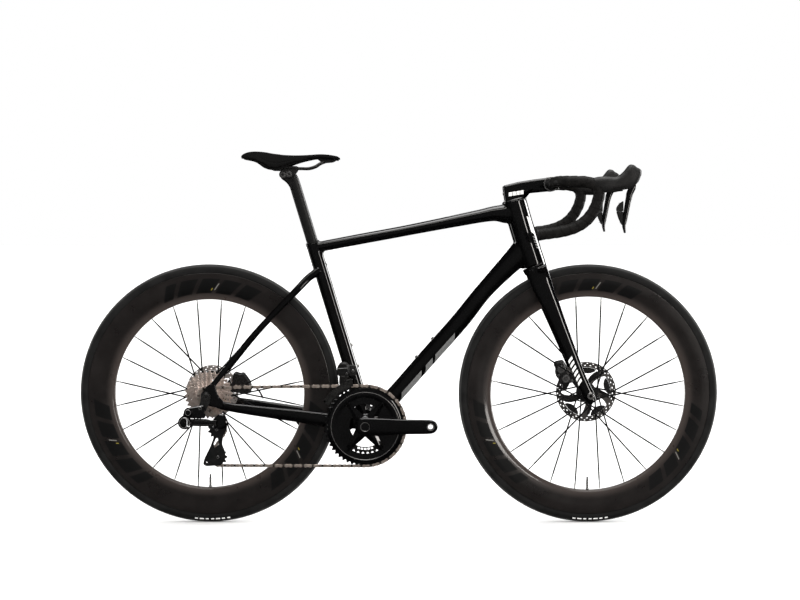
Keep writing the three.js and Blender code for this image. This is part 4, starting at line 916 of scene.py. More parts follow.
b = Build()
b.cyl((REAR_X, -82.6, AXLE_Z), (REAR_X, 79, AXLE_Z), 6, 32)
hex_bolt(b, (REAR_X, 79.2, AXLE_Z), (REAR_X, 83, AXLE_Z), 9.5)
b.make("rear_axle_detail", ALLOY, "frame", "black_alloy", "rear_thru_axle")
b = Build()
hex_bolt(b, (REAR_X, -83.0, AXLE_Z), (REAR_X, -85.6, AXLE_Z), 9.2)
b.cyl((REAR_X, -82.4, AXLE_Z), (REAR_X, -83.4, AXLE_Z), 8.2, 32)
b.make("hanger_nut", ALLOY, "frame", "black_alloy")
b = Build()
HANGER = [(-486, 341), (-490, 350), (-498, 354), (-507, 350), (-511, 341), (-514, 322), (-520, 308), (-514, 299), (-503, 299), (-496, 309), (-489, 325)]
b.prism(rounded(HANGER, 5), [circle(REAR_X, AXLE_Z, 6.3, 32)], -83.2, -79.3, 0.7)
b.make("hanger_plate", ALLOY, "frame", "black_alloy", "derailleur_hanger")

b = Build()
P = [loft_points([seat_station(SEAT_TOP + h, 18.4 - k, 15.2 - k), seat_station(SEAT_TOP + h + 0.4, 18.4 - k, 15.2 - k)], 48, 2, 2.4)[0] for h, k in ((0.1, 0.0), (1.6, 0.2), (2.4, 1.2))]
I = [loft_points([seat_station(SEAT_TOP + h, POST_A + 0.3, POST_B + 0.3), seat_station(SEAT_TOP + h + 0.4, POST_A + 0.3, POST_B + 0.3)], 48, 2, 2.3)[0] for h in (2.4, 0.1)]
b.grid(np.array(P + I + [P[0]]), caps=False)
b.make("seat_collar", PLASTIC, "frame", "carbon_matte", "seatpost_wedge")

# headset bearings stay as solid rings inside the head tube, in bright steel
for k in ("headset_bearing_lower", "headset_bearing_upper"):
    NODES[k].data.materials.clear()
    NODES[k].data.materials.append(STEEL)

# bottle bolts
b = Build()
for x, z, st in ((-126, 463, 1), (-108, 408, 1), (87, 487, 0), (46, 437, 0)):
    if st:
        # front face of the seat tube
        s = (z - SEAT_P[1]) / SEAT_D[1]
        p0 = seat_at(s, 17.4)
        p1 = seat_at(s, 22.4)
    else:
        tdir = np.array([85.5 - 3.8, 446.8 - 353.9]); tdir /= np.linalg.norm(tdir)
        nrm = np.array([-tdir[1], tdir[0]])
        base = np.array([3.8, 353.9]) + tdir * (np.dot(np.array([x, z]) - np.array([3.8, 353.9]), tdir))
        p0 = [base[0] + nrm[0] * 21.5, 0, base[1] + nrm[1] * 21.5]
        p1 = [base[0] + nrm[0] * 26.8, 0, base[1] + nrm[1] * 26.8]
    d = (np.array(p1) - np.array(p0)); d /= np.linalg.norm(d)
    b.cyl(p0, np.array(p0) + d * 2.0, 5.0, 32)
    hex_bolt(b, np.array(p0) + d * 1.8, p1, 4.0)
b.make("bottle_bolts", BOLT, "frame", "black_alloy")

# ------------------------------------------------------------------ fork


def fork_station(along, ahead, a, b_, y):
    p = steer(along, ahead)
    return [p[0], p[2], a, b_, y]


BLADE = [
    fork_station(356, 7, 28, 9, 22), fork_station(330, 7.5, 27.6, 9, 28.5), fork_station(307, 8.5, 26.5, 9, 31),
    fork_station(250, 15, 22.3, 8.5, 37.5), fork_station(180, 21.2, 18.8, 7.5, 45), fork_station(111, 27.5, 16, 6.3, 51.2),
    fork_station(60, 32, 14.6, 5.8, 55), fork_station(10, 38.5, 15, 5.8, 56.3), fork_station(-17, 44, 11, 5.4, 56.3)]
BLADE_L = [s for s in BLADE]
BLADE_R = mirror_station(BLADE)


def crown(b):
    b.grid(loft_points([fork_station(HEAD_LOW - 0.6, 4.2, 32, 29.3, 0), fork_station(357, 5.2, 31.4, 29.8, 0), fork_station(350, 6.4, 30, 30, 0), fork_station(344.5, 7, 26.5, 28, 0)], 96, 14, 2.3))


fork_shells = [
    crown,
    lambda b: b.loft(BLADE_L, 48, 110, 2.15, dome=3.0),
    lambda b: b.loft(BLADE_R, 48, 110, 2.15, dome=3.0),
]
fork_shell = blended_shell("fork_shell", fork_shells, GLOSS, "steering", "fork", voxel=1.6, passes=6)
b = Build()
b.cyl(steer(350, 0), steer(580, 0), 14.3, 40)
b.make("steerer", CARBON, "steering", "carbon_matte")

b = Build()
b.cyl((FRONT_X, -61, AXLE_Z), (FRONT_X, 62.6, AXLE_Z), 6, 32)
hex_bolt(b, (FRONT_X, -61.4, AXLE_Z), (FRONT_X, -65.6, AXLE_Z), 9.0)
b.make("front_axle_detail", BOLT, "steering", "black_alloy", "front_thru_axle")

# ------------------------------------------------------------------ cockpit
b = Build()
rows = []
for along, front, rear, half in ((HEAD_TOP + 0.4, 34.6, -28.3, 27.6), (HEAD_TOP + 1.0, 35.0, -28.6, 28.0), (HEAD_TOP + 3.4, 34.0, -27.8, 27.2), (HEAD_TOP + 4.9, 31.4, -26.2, 25.4), (HEAD_TOP + 5.2, 29.5, -25, 24)):
    st = head_station(along, front, rear, half)
    nx = head_station(along + 1, front, rear, half)
    rows.append(loft_points([st, nx], 72, 2, 2.2)[0])
b.grid(np.array(rows))
b.make("headset_cap", GLOSS, "steering", "frame_gloss", "headset_cover")

BAR_C = [396.5, 890.6]
STEM_SIDE = [
    (271.5, 880), (274.5, 887), (310.9, 896.2), (352, 902.8), (398, 908.6), (408, 906.5), (414, 899), (415.5, 886),
    (411.5, 876), (403, 872.6), (336, 866.2), (331, 862.5), (335, 846.2), (279, 830.6)]


def stem_section(b):
    b.prism(rounded(STEM_SIDE, 5, 4), [], -18, 18, 5.0)


b = Build()
# a moulded body: its flanks are crowned, so the section is built up in five slices
OUT = rounded(STEM_SIDE, 6, 5)


def inset_loop(loop, d):
    p = np.array(loop, float)
    if 0.5 * np.sum(p[:, 0] * np.roll(p[:, 1], -1) - np.roll(p[:, 0], -1) * p[:, 1]) < 0:
        p = p[::-1]
    e = np.roll(p, -1, axis=0) - p
    e /= np.linalg.norm(e, axis=1)[:, None] + 1e-9
    nrm = np.stack([-e[:, 1], e[:, 0]], 1)
    prev = np.roll(nrm, 1, axis=0)
    k = 1 + np.sum(nrm * prev, axis=1)
    return p + d * (nrm + prev) / np.maximum(k, 0.5)[:, None]


rows = []
for y, d in ((-18, 6.0), (-17.4, 3.6), (-16, 1.8), (-13.4, 0.5), (-10, 0.0), (10, 0.0), (13.4, 0.5), (16, 1.8), (17.4, 3.6), (18, 6.0)):
    q = inset_loop(OUT, d)
    rows.append([[x, y, z] for x, z in q])
b.grid(np.array(rows))
b.make("stem_body", GLOSS, "steering", "frame_gloss", "stem", angle=30)
b = Build()
# bar clamp collar with its parting gap, and the two bolts behind the steerer
for s in (-1, 1):
    b.lathe([(16.6, 18.2 * s), (19.0, 18.2 * s), (19.6, 19.0 * s), (19.6, 22.4 * s), (18.6, 23.6 * s), (16.6, 23.8 * s)], BAR_C[0], BAR_C[1], 56)
for k in (0.30, 0.72):
    x, z = 271.5 + (279 - 271.5) * k, 880 + (830.6 - 880) * k
    for y in (-7,):
        hex_bolt(b, (x + 2.5, y, z + 0.4), (x - 2.2, y, z - 0.3), 4.2)
for x, z in ((403, 900), (405.5, 881)):
    for y in (-12, 12):
        hex_bolt(b, (x + 6, y, z), (x + 11.5 - (1.0 if z > 890 else 0.6), y, z), 3.6)
b.cyl(steer(581, 0), steer(586.4, 0), 15.5, 40, bevel=1.4)
b.make("stem_hardware", BOLT, "steering", "black_alloy")

BAR_PATH = [
    [BAR_C[0], 0, BAR_C[1]], [BAR_C[0], -30, BAR_C[1]], [BAR_C[0], -60, BAR_C[1]], [397, -110, 891.5], [399, -145, 892.5],
    [407, -168, 893], [424, -182, 893], [446, -188, 892.5], [470, -190.5, 891], [489, -191.5, 884], [498.5, -192.3, 868], [496.7, -193, 848],
    [490, -194.5, 829], [479, -196, 810], [462, -198, 792], [438, -199.5, 778], [410, -200.5, 769.5], [378, -201, 764.5], [349, -201.5, 760.5]]
right = BAR_PATH[1:]
whole = right[::-1] + [BAR_PATH[0]] + [[x, -y, z] for x, y, z in right]
WP = through(whole, 421, 3)


def bar_radius(f):
    y = abs(WP[int(round(f * 420))][1])
    side = abs(f - 0.5)
    if side > 0.3:
        return BAR_R
    t = min(max((y - 34) / 22, 0), 1)
    return BAR_CLAMP_R + (BAR_R - BAR_CLAMP_R) * t * t * (3 - 2 * t)


b = Build()
b.tube(WP, bar_radius, 40)
b.make("handlebar_tube", CARBON, "steering", "carbon_matte", "handlebar")

TP = through(BAR_PATH[3:], 361, 3)
seg = np.r_[0, np.cumsum(np.linalg.norm(np.diff(TP, axis=0), axis=1))]


def tape_tube(side):
    """Wrapped tape: each turn laps the last, so the surface steps up along a helix."""
    P = TP * ([1, 1, 1] if side < 0 else [1, -1, 1])
    t = np.gradient(P, axis=0)
    t /= np.linalg.norm(t, axis=1)[:, None]
    n = 56
    a = np.arange(n) / n * TAU
    up = np.array([0, 0, 1.0])
    R = np.zeros((len(P), n, 3))
    sd = up.copy()
    for j in range(len(P)):
        sd = sd - t[j] * sd.dot(t[j])
        sd /= np.linalg.norm(sd)
        w = np.cross(t[j], sd)
        turn = (seg[j] / 21.0 + side * a / TAU) % 1.0
        lap = np.where(turn < 0.82, turn / 0.82, (1 - turn) / 0.18)
        r = 14.15 + 0.85 * lap
        r = r - 2.2 * max(0, 1 - seg[j] / 3.0) ** 2
        R[j] = P[j] + np.outer(np.cos(a) * r, sd) + np.outer(np.sin(a) * r, w)
    return R


for side, label in ((-1, "right"), (1, "left")):
    b = Build()
    b.grid(tape_tube(side))
    b.make("tape_wrap_" + label, TAPE, "steering", "bar_tape", "bar_tape_" + label, angle=60)
    # finishing band at the inner end of the tape, and the end plug
    b = Build()
    y0 = side * 110
    b.lathe([(12.1, y0 - side * 9), (12.5, y0 - side * 9.4), (14.6, y0 - side * 8), (15.1, y0 - side * 2), (15.1, y0 + side * 6), (14.4, y0 + side * 7), (12.1, y0 + side * 7)], 397, 891.5, 56)
    b.make("tape_band_" + label, PLASTIC, "steering", "bar_tape")
    e1, e0 = np.array(BAR_PATH[-1], float), np.array(BAR_PATH[-2], float)
    if side > 0:
        e1, e0 = e1 * [1, -1, 1], e0 * [1, -1, 1]
    d = (e1 - e0) / np.linalg.norm(e1 - e0)
    s = np.cross(d, [0, 0, 1.0]); s /= np.linalg.norm(s); w = np.cross(d, s)
    q = np.arange(56) / 56 * TAU
    rows = [(12.8, 0.3), (14.6, 0.5), (15.2, 1.4), (15.2, 3.2), (14.4, 4.8), (12.6, 5.9), (11.4, 6.2), (10.8, 5.5), (8, 5.3)]
    b = Build()
    b.grid(np.array([[e1 + d * h + (s * math.cos(x) + w * math.sin(x)) * r for x in q] for r, h in rows]))
    b.make("end_plug_" + label, PLASTIC, "steering", "carbon_matte", "bar_end_plug_" + label)

HOOD = [[487, 887, 15.5, 14], [500, 886, 19, 15.5], [515, 885.5, 20.2, 16], [543, 886, 19.2, 15.2], [558, 892.5, 23.6, 15.3], [576, 903, 32, 15.3],
        [585, 904.5, 29.5, 14.8], [592, 906, 22.5, 13.5], [599, 911, 14, 11], [603.5, 914.5, 6.5, 7]]
LEVER = [
    [588, 886, 4.5, 6.5], [583, 878, 8, 7.5], [576, 864, 8.5, 7], [573, 850, 7.6, 6.5], [568.5, 825, 7, 6.5], [564, 800, 6.5, 6.5],
    [561.8, 783, 4.6, 6], [564.2, 765.5, 2.6, 4.5]]


def vertex_box(me):
    c = np.empty(len(me.vertices) * 3)
    me.vertices.foreach_get("co", c)
    c = c.reshape(-1, 3)
    return (c.min(axis=0), c.max(axis=0)) if len(c) else (np.zeros(3), np.zeros(3))


def cut_away(o, make_cutter):
    """Takes the cutter's shape out of the object."""
    c = make_cutter.make(o.name + "_cutter", PLASTIC)
    keep = o.data.copy()
    box0 = vertex_box(o.data)
    modified(o, "BOOLEAN", operation="DIFFERENCE", object=c, solver="EXACT", use_self=True)
    applied(o)
    box1 = vertex_box(o.data)
    # a cut can't make the piece any bigger: if it did, the uncut shape is kept
    if len(o.data.vertices) < 8 or (box1[0] < box0[0] - 1e-4).any() or (box1[1] > box0[1] + 1e-4).any():
        o.data = keep
        print("cut refused on", o.name)
    bpy.data.objects.remove(c)
    return o


for side, label in ((-1, "right"), (1, "left")):
    S = through(HOOD, 70)
    u, v = outline(64, 2.6)
    R = np.zeros((70, 64, 3))
    for j in range(70):
        x, zc, hh, hw = S[j]
        # a slimmer waist low down and a broad top, as a hand wants it
        low = np.where(u < 0, 1 - 0.16 * (-u) ** 2, 1.0)
        R[j, :, 0] = x
        R[j, :, 1] = side * HOOD_Y + v * hw * low
        R[j, :, 2] = zc + u * hh
    b = Build()
    b.grid(R, dome=1.2)
    o = b.make("hood_cover_" + label, HOOD_RUBBER)
    k = Build()
    k.prism([(557.5, 846), (620, 846), (620, 890), (600, 890.5), (572, 891), (557.5, 884)], [], side * HOOD_Y - 8.4, side * HOOD_Y + 8.4, 0)
    cut_away(o, k)
    o.data.polygons.foreach_set("use_smooth", [True] * len(o.data.polygons))
    o.data.set_sharp_from_angle(angle=math.radians(40))
    finish_piece(o, "steering", "hood_" + label)

    # blade: a dished front face and a spine behind it
    S = through(LEVER, 90)
    t = np.gradient(S[:, :2], axis=0)
    t /= np.linalg.norm(t, axis=1)[:, None]
    u, v = outline(40, 2.8)
    R = np.zeros((90, 40, 3))
    for j in range(90):
        x, z, a, w = S[j]
        f = (-t[j, 1], t[j, 0])
        R[j, :, 0] = x + f[0] * u * a
        R[j, :, 1] = side * HOOD_Y + v * w
        R[j, :, 2] = z + f[1] * u * a
    b = Build()
    b.grid(R, dome=1.0)
    b.make("lever_blade_" + label, GLOSS, "lever_" + label, "frame_gloss", "brake_lever_" + label)
    b = Build()
    hex_bolt(b, (588, side * (HOOD_Y + 6.2), 884), (588, side * (HOOD_Y + 7.8), 884), 3.2)
    hex_bolt(b, (588, side * (HOOD_Y - 6.2), 884), (588, side * (HOOD_Y - 7.8), 884), 3.2)
    b.make("lever_pin_" + label, BOLT, "lever_" + label, "black_alloy")
    # paddles behind the blade
    for which, out in (("upper", [(559.5, 845), (549.6, 838.4), (542.2, 828), (542.2, 818.7), (559.5, 818.7)]),
                       ("lower", [(559.0, 818.6), (542.2, 818.6), (547.2, 802), (554.6, 786.4), (557.2, 784.4)])):
        name = "shift_button_%s_%s" % (which, label)
        lo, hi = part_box(name)
        b = Build()
        x_max = hi.x * 1000
        out2 = [(min(x, x_max + 0.7), z) for x, z in out]
        y0, y1 = (lo.y * 1000 + 0.2, hi.y * 1000 - 0.2)
        b.prism(rounded(out2, 3, 3), [], y0, y1, 0.8)
        # grip lines
        for k in range(5):
            zz = (821.5 + 4.4 * k) if which == "upper" else (790 + 4.8 * k)
            xx0, xx1 = (546.5, 555.5) if which == "upper" else (549.5, 554.5)
            yy = (y0 - 0.25) if side < 0 else (y1 + 0.25)
            b.tube([(xx0, yy, zz), (xx1, yy, zz)], 0.45, 8)
        b.make("paddle_%s_%s" % (which, label), PLASTIC, "%s_button_%s" % (which, label), "carbon_matte", name)

# ------------------------------------------------------------------ brakes


def steer_outline(pts):
    out = []
    for s, h in pts:
        p = steer(s, h)
        out.append((p[0], p[2]))
    return out


b = Build()
CAL = [(33, -13), (33, 16), (40, 24), (60, 20), (90, 12), (99, 9), (101, -12), (94, -18), (82, -16), (74, -20), (60, -20), (52, -16), (44, -18)]
o_lo, o_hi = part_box("front_caliper")
b.prism(rounded(steer_outline(CAL), 5, 4), [], 42.0, 55.0, 3.0)
b.prism(rounded(steer_outline([(36, -10), (37, 12), (97, 8), (97, -12)]), 4, 3), [], 27.0, 37.2, 2.2)
b.prism(rounded(steer_outline([(84, -12), (84, 10), (98, 7), (98, -12)]), 3, 3), [], 34, 46, 1.0)
b.prism(rounded(steer_outline([(35, -10), (35, 11), (44, 12), (44, -12)]), 3, 3), [], 34, 46, 1.0)
o = b.make("front_caliper_detail", ALLOY)
k = Build()
k.lathe([(20, 37.6), (83, 37.6), (83, 41.7), (20, 41.7)], FRONT_X, AXLE_Z, 96)
cut_away(o, k)
k = Build()
k.loft([[s[0], s[1], s[2] + 0.6, s[3] + 0.6, s[4]] for s in BLADE], 40, 60, 2.6)
cut_away(o, k)
o.data.set_sharp_from_angle(angle=math.radians(30))
finish_piece(o, "steering", "front_caliper")
b = Build()
for s_, h_, r_ in ((50, 1, 10.5), (78, -4, 10.5)):
    p = steer(s_, h_)
    b.cyl((p[0], 27.6, p[2]), (p[0], 25.9, p[2]), r_, 40, bevel=0.8)
    b.lathe([(r_ - 4.2, 25.9), (r_ - 2.6, 25.5), (r_ - 2.0, 25.9)], p[0], p[2], 40)
for s_, h_ in ((40, 15), (94, 3), (64, -14)):
    p = steer(s_, h_)
    hex_bolt(b, (p[0], 28.6, p[2]), (p[0], 26.2, p[2]), 3.6)
b.make("front_caliper_caps", GREY_ALLOY, "steering", "black_alloy")
b = Build()
p = steer(66, 2)
b.cyl((p[0], 54.6, p[2]), (p[0], 56.0, p[2]), 8.5, 40, bevel=0.7)
for s, h in ((42, 8), (90, 4)):
    p = steer(s, h)
    hex_bolt(b, (p[0], 53.6, p[2]), (p[0], 55.9, p[2]), 3.6)
p = steer(52, -10)
hex_bolt(b, (p[0], 53.6, p[2]), (p[0], 55.6, p[2]), 2.6)
b.make("front_caliper_bolts", BOLT, "steering", "black_alloy")

RCAL = [(-449, 352), (-444, 385), (-436, 393), (-424, 388), (-414, 391), (-397, 368), (-392, 349), (-398, 333), (-450, 340)]
b = Build()
b.prism(rounded(RCAL, 5, 4), [], 58.0, 69.6, 3.0)
b.prism(rounded(inset_loop(RCAL, 2.0), 5, 3), [], 43.0, 53.0, 2.2)
b.prism(rounded([(-447, 352), (-443, 384), (-434, 388), (-434, 350)], 3, 3), [], 50, 61, 0.8)
b.prism(rounded([(-412, 380), (-398, 366), (-394, 350), (-404, 350)], 3, 3), [], 50, 61, 0.8)
o = b.make("rear_caliper_detail", ALLOY)
k = Build()
k.lathe([(20, 53.2), (73, 53.2), (73, 57.8), (20, 57.8)], REAR_X, AXLE_Z, 96)
cut_away(o, k)
for st in (CHAIN_STAY, SEAT_STAY):
    k = Build()
    k.loft([[s[0], s[1], s[2] + 0.6, s[3] + 0.6, s[4]] for s in st], 40, 60, 2.6)
    cut_away(o, k)
o.data.set_sharp_from_angle(angle=math.radians(30))
finish_piece(o, "frame", "rear_caliper")
b = Build()
b.cyl((-421, 69.2, 366), (-421, 70.4, 366), 8.5, 40, bevel=0.6)
for x, z in ((-440, 384), (-404, 360)):
    hex_bolt(b, (x, 68.6, z), (x, 70.3, z), 3.6)
b.make("rear_caliper_bolts", BOLT, "frame", "black_alloy")
b = Build()
b.tube(through([[-393, 60, 352.3], [-384, 60, 350], [-375, 59, 342], [-368, 57.2, 331], [-362.5, 55.7, 320.5]], 60, 3), 2.35, 20)
b.make("rear_hose_detail", RUBBER, "frame", "hood_rubber", "rear_brake_hose")
b = Build()
b.cyl((-397, 60, 353.2), (-389.6, 60, 351.5), 3.3, 24)
b.make("rear_hose_ferrule", BOLT, "frame", "black_alloy")

# ------------------------------------------------------------------ wheels


def arc_profile(points, n):
    """Smooth closed profile through [r, y] points."""
    P = np.array(points + points[:1], float)
    return [tuple(p) for p in through(P, n, 2)[:-1]]


def tyre_profile():
    """Casing from bead to bead, rounded at the tread."""
    out = []
    rc, c = 14.5, WHEEL_R - 14.6
    for k in range(41):
        t = math.radians(-118 + 236 * k / 40)
        r, y = c + 14.6 * math.cos(t), 14.6 * math.sin(t)
        out.append((r, y))
    # inside, down to the bead
    out += [(RIM_R - 2.6, 10.6), (RIM_R - 2.9, 9.6), (RIM_R - 2.9, -9.6), (RIM_R - 2.6, -10.6)]
    return out


def rim_profile(nose):
    pts = [(RIM_R + 0.5, RIM_W - 0.5), (RIM_R + 0.6, 12.2), (RIM_R - 0.2, 11.5), (RIM_R - 3.6, 11.1), (RIM_R - 3.6, -11.1), (RIM_R - 0.2, -11.5), (RIM_R + 0.6, -12.2), (RIM_R + 0.5, -RIM_W + 0.5), (RIM_R - 0.6, -RIM_W)]
    side = through([[RIM_R - 1.0, RIM_W], [RIM_R - 10, RIM_W + 0.3], [RIM_R - 22, RIM_W + 0.1], [nose + 30, 12.9], [nose + 16, 10.2], [nose + 6, 7.0], [nose + 1.6, 3.8], [nose, 0.0]], 30, 2)
    down = [tuple(p) for p in side]
    up = [(r, -y) for r, y in down[:-1]]
    # from +Y flange hook round the channel to -Y, down the -Y flank to the nose, and up the +Y flank
    return pts + up + [down[-1]] + down[:-1][::-1]


def spoke_ends(x, fr, fl, ring_r, nose):
    for i in range(24):
        a = math.radians(7.5 + 15 * i)
        on_left, lead = i % 2 == 0, (1 if (i // 2) % 2 else -1)
        end = nose - 1.7
        h = a + lead * math.acos(ring_r / end)
        y = (fl if on_left else fr) + lead * 1.1
        yield (a, np.array([x + ring_r * math.cos(h), y, AXLE_Z + ring_r * math.sin(h)]),
               np.array([x + end * math.cos(a), (1.2 if on_left else -1.2) + lead * 0.9, AXLE_Z + end * math.sin(a)]), lead, h)


def wheel(cx, nose, fr, fl, body, tag, rotor_y, rotor_r):
    TM, RM = tyre_mat(cx), rim_mat(cx, nose)
    b = Build()
    b.lathe(tyre_profile(), cx, AXLE_Z, 256)
    b.make(tag + "_tyre_casing", TM, body, "tyre_rubber", tag + "_tyre", angle=50)
    # small plain dashes on the sidewall, set three to a group
    b = Build()
    for g in range(1):
        for k in range(7):
            a0 = -math.pi / 2 + 0.02 + (k - 3.0) * 0.043
            for s in (-1, 1):
                P = []
                for t in np.linspace(a0 - 0.012 - 0.005 * (k % 3 == 1), a0 + 0.012 + 0.005 * (k % 3 == 1), 7):
                    row = []
                    for q in (math.radians(62), math.radians(69), math.radians(76)):
                        r, y = WHEEL_R - 14.6 + 14.66 * math.cos(q), s * 14.66 * math.sin(q)
                        row.append([cx + r * math.cos(t), y, AXLE_Z + r * math.sin(t)])
                    P.append(row)
                P = np.array(P)
                b.grid(P, caps=False, closed=False)
    b.make(tag + "_tyre_dashes", WHITE, body, "tyre_rubber")
    b = Build()
    b.lathe(rim_profile(nose), cx, AXLE_Z, 256)
    b.make(tag + "_rim_shell", RM, body, "rim_carbon", tag + "_rim", angle=40)
    # spokes: flattened blades with nipples at the rim
    b = Build()
    n = Build()
    for a, p, q, lead, h in spoke_ends(cx, fr, fl, 21, nose):
        d = (q - p) / np.linalg.norm(q - p)
        wide = np.cross(d, [0, 1.0, 0])
        wide /= np.linalg.norm(wide)
        thin = np.cross(d, wide)
        u, v = outline(12, 2.2)
        rows = []
        L = np.linalg.norm(q - p)
        for f in (0, 0.04, 0.07, 0.5, 0.90, 0.93, 1.0):
            c = p + (q - p) * f
            flat = 0.07 <= f <= 0.90
            a_, b_ = (2.0, 0.8) if flat else (1.5, 1.2)
            rows.append([c + wide * u[k] * a_ + thin * v[k] * b_ for k in range(12)])
        b.grid(np.array(rows))
        n.cyl(q - d * 9.0, q + d * 1.0, 1.65, 12, bevel=0.4)
        n.cyl(q - d * 9.2, q - d * 6.4, 1.85, 6, bevel=0.3)
    # flange rings and spoke seats
    for y in (fr, fl):
        b.lathe([(14.2, y - 2), (20.4, y - 1.8), (22.6, y - 1.3), (23.0, y), (22.6, y + 1.3), (20.4, y + 1.8), (14.2, y + 2)], cx, AXLE_Z, 72)
    prof = [(12.7, fr + 1.9), (14.8, fr + 1.9), (14.0, fr + 6), (13.7, (fr + fl) / 2), (14.0, fl - 6), (14.8, fl - 1.9), (12.7, fl - 1.9)]
    b.lathe(prof, cx, AXLE_Z, 72)
    b.make(tag + "_spoke_blades", SPOKE, body, "black_steel", tag + "_spokes", angle=50)
    for a, p, q, lead, h in spoke_ends(cx, fr, fl, 21, nose):
        n.cyl(p - np.array([0, 2.6 * (1 if lead > 0 else -1), 0]) * 0 + np.array([0, -1.0, 0]), p + np.array([0, 1.0, 0]), 1.5, 12, bevel=0.4)
    n.make(tag + "_nipples", BOLT, body, "black_steel")
    # rotor: braking ring with slots, slim arms and a finned carrier
    R, y = rotor_r, rotor_y
    holes = []
    track = R - 14.5
    inner = 24.5
    for i in range(5):
        c = i / 5 * TAU + 0.25
        ring = [(track, t) for t in np.linspace(-0.50, 0.44, 9)]
        ring += [(track - (track - inner) * f, 0.44 + 0.36 * f**0.8 - 0.10 * f) for f in (0.25, 0.5, 0.75)]
        ring += [(inner, t) for t in np.linspace(0.62, 0.02, 5)]
        ring += [(track - (track - inner) * f, -0.50 + 0.50 * f**0.8) for f in (0.75, 0.5, 0.25)]
        holes.append(rounded([(cx + r_ * math.cos(c + t), AXLE_Z + r_ * math.sin(c + t)) for r_, t in ring], 3, 3))
    count = 30 if R > 75 else 26
    for i in range(count):
        c = (i + 0.5) / count * TAU
        for j, (r0, w) in enumerate(((R - 4.2, 1.2), (R - 9.6, 1.35))):
            cc = c + (j - 0.5) * 0.09
            slot_ = []
            for t in np.linspace(0, TAU, 9)[:-1]:
                slot_.append((cx + (r0 + w * math.sin(t)) * math.cos(cc + w * 1.9 * math.cos(t) / r0), AXLE_Z + (r0 + w * math.sin(t)) * math.sin(cc + w * 1.9 * math.cos(t) / r0)))
            holes.append(slot_)
    b = Build()
    wavy = [(cx + (R - 0.25 + 0.2 * math.cos(24 * t)) * math.cos(t), AXLE_Z + (R - 0.25 + 0.2 * math.cos(24 * t)) * math.sin(t)) for t in np.arange(192) / 192 * TAU]
    b.prism(wavy, [circle(cx, AXLE_Z, 17, 48)] + holes, y - 0.85, y + 0.85, 0.15)
    b.make(tag + "_rotor_ring", rotor_mat(cx), body, "steel", tag + "_rotor", angle=30)
    # carrier: a slim hub star, the arms' dark faces, and curved cooling fins in the windows
    b = Build()
    for i in range(5):
        c = i / 5 * TAU + 0.25 - 0.5
        arm = []
        for f in np.linspace(0, 1, 7):
            arm.append((inner - 3 + (track - inner - 1) * f, 0.45 - 0.42 * f**0.8 - (0.13 - 0.07 * f)))
        for f in np.linspace(1, 0, 7):
            arm.append((inner - 3 + (track - inner - 1) * f, 0.45 - 0.42 * f**0.8 + (0.13 - 0.07 * f)))
        arm = [(cx + r_ * math.cos(c + t), AXLE_Z + r_ * math.sin(c + t)) for r_, t in arm]
        c = i / 5 * TAU + 0.25
        r1 = track - 0.6
        fin = [(r1, t) for t in np.linspace(-0.36, 0.36, 13)]
        fin += [(r1 - 3 - 13.0 * math.cos(t / 0.36 * math.pi / 2) ** 0.6, t) for t in np.linspace(0.34, -0.34, 15)]
        fin = [(cx + r_ * math.cos(c + t), AXLE_Z + r_ * math.sin(c + t)) for r_, t in fin]
        for y0, y1 in ((y - 1.9, y - 0.9), (y + 0.9, y + 1.9)):
            b.prism(arm, [], y0, y1, 0.3)
        b.prism(fin, [], y - 1.7, y + 1.7, 0.4)
    b.lathe([(17.5, y - 1.95), (25.5, y - 1.95), (26.5, y - 0.9), (17.5, y - 0.9)], cx, AXLE_Z, 72)
    b.lathe([(17.5, y + 0.9), (26.5, y + 0.9), (25.5, y + 1.95), (17.5, y + 1.95)], cx, AXLE_Z, 72)
    s = 1
    b.lathe([(10.2, y + 1.9), (22.4, y + 1.9), (22.4, y + 3.2), (20.8, y + 4.2), (14, y + 4.2), (13.2, y + 3.4), (10.2, y + 3.4)], cx, AXLE_Z, 72)
    for x, z, t in b.ring_of(16, 21.8, cx, AXLE_Z):
        b.cyl((x, y + 2.0, z), (x, y + 4.0, z), 1.1, 8, bevel=0.3)
    b.make(tag + "_rotor_carrier", ALLOY, body, "black_alloy")
    # valve: stem, knurled cap and lock nut
    b = Build()
    base = AXLE_Z - nose
    b.tube([(cx, 0, base + 1.0), (cx, 0, base + 24), (cx, 0, base + 24.4), (cx, 0, base + 33.5)], lambda f: 3.1 if f < 0.5 else 2.5, 24)
    for k in range(11):
        zz = base + 7 + k * 1.5
        b.tube([(cx, 0, zz), (cx, 0, zz + 0.7)], 3.4, 24)
    b.cyl((cx, 0, base + 0.6), (cx, 0, base + 3.8), 4.6, 24, bevel=0.8)
    b.make(tag + "_valve_detail", BOLT, body, "carbon_matte", tag + "_valve")


wheel(FRONT_X, NOSE_FRONT, -34, 22, "front_wheel", "front", 39.6, 80)
wheel(REAR_X, NOSE_REAR, -19.5, 33.4, "rear_wheel", "rear", 55.5, 70)

# hubs
b = Build()
b.lathe([(6.4, -50), (9.2, -50), (9.5, -49.5), (9.5, -43.4), (13.4, -42.4), (14.8, -41), (14.9, -36.6), (12.2, -36.4), (12.2, 24.4), (14.5, 24.6), (17, 25.4), (17, 37.4), (17.2, 42.2), (13, 43.8), (9.5, 44.2), (9.5, 49.5), (9.2, 50), (6.4, 50)], FRONT_X, AXLE_Z, 72)
b.make("front_hub_shell", ALLOY, "front_wheel", "black_alloy", "front_hub")
b = Build()
b.lathe([(6.4, -22.6), (12.0, -22.6), (12.2, 35.8), (16.6, 36), (17, 36.8), (17, 58.2), (13, 59.8), (9.5, 60.2), (9.5, 70.5), (9.2, 71), (6.4, 71)], REAR_X, AXLE_Z, 72)
b.make("rear_hub_shell", ALLOY, "rear_wheel", "black_alloy", "rear_hub")

# ------------------------------------------------------------------ cassette, rings and cranks


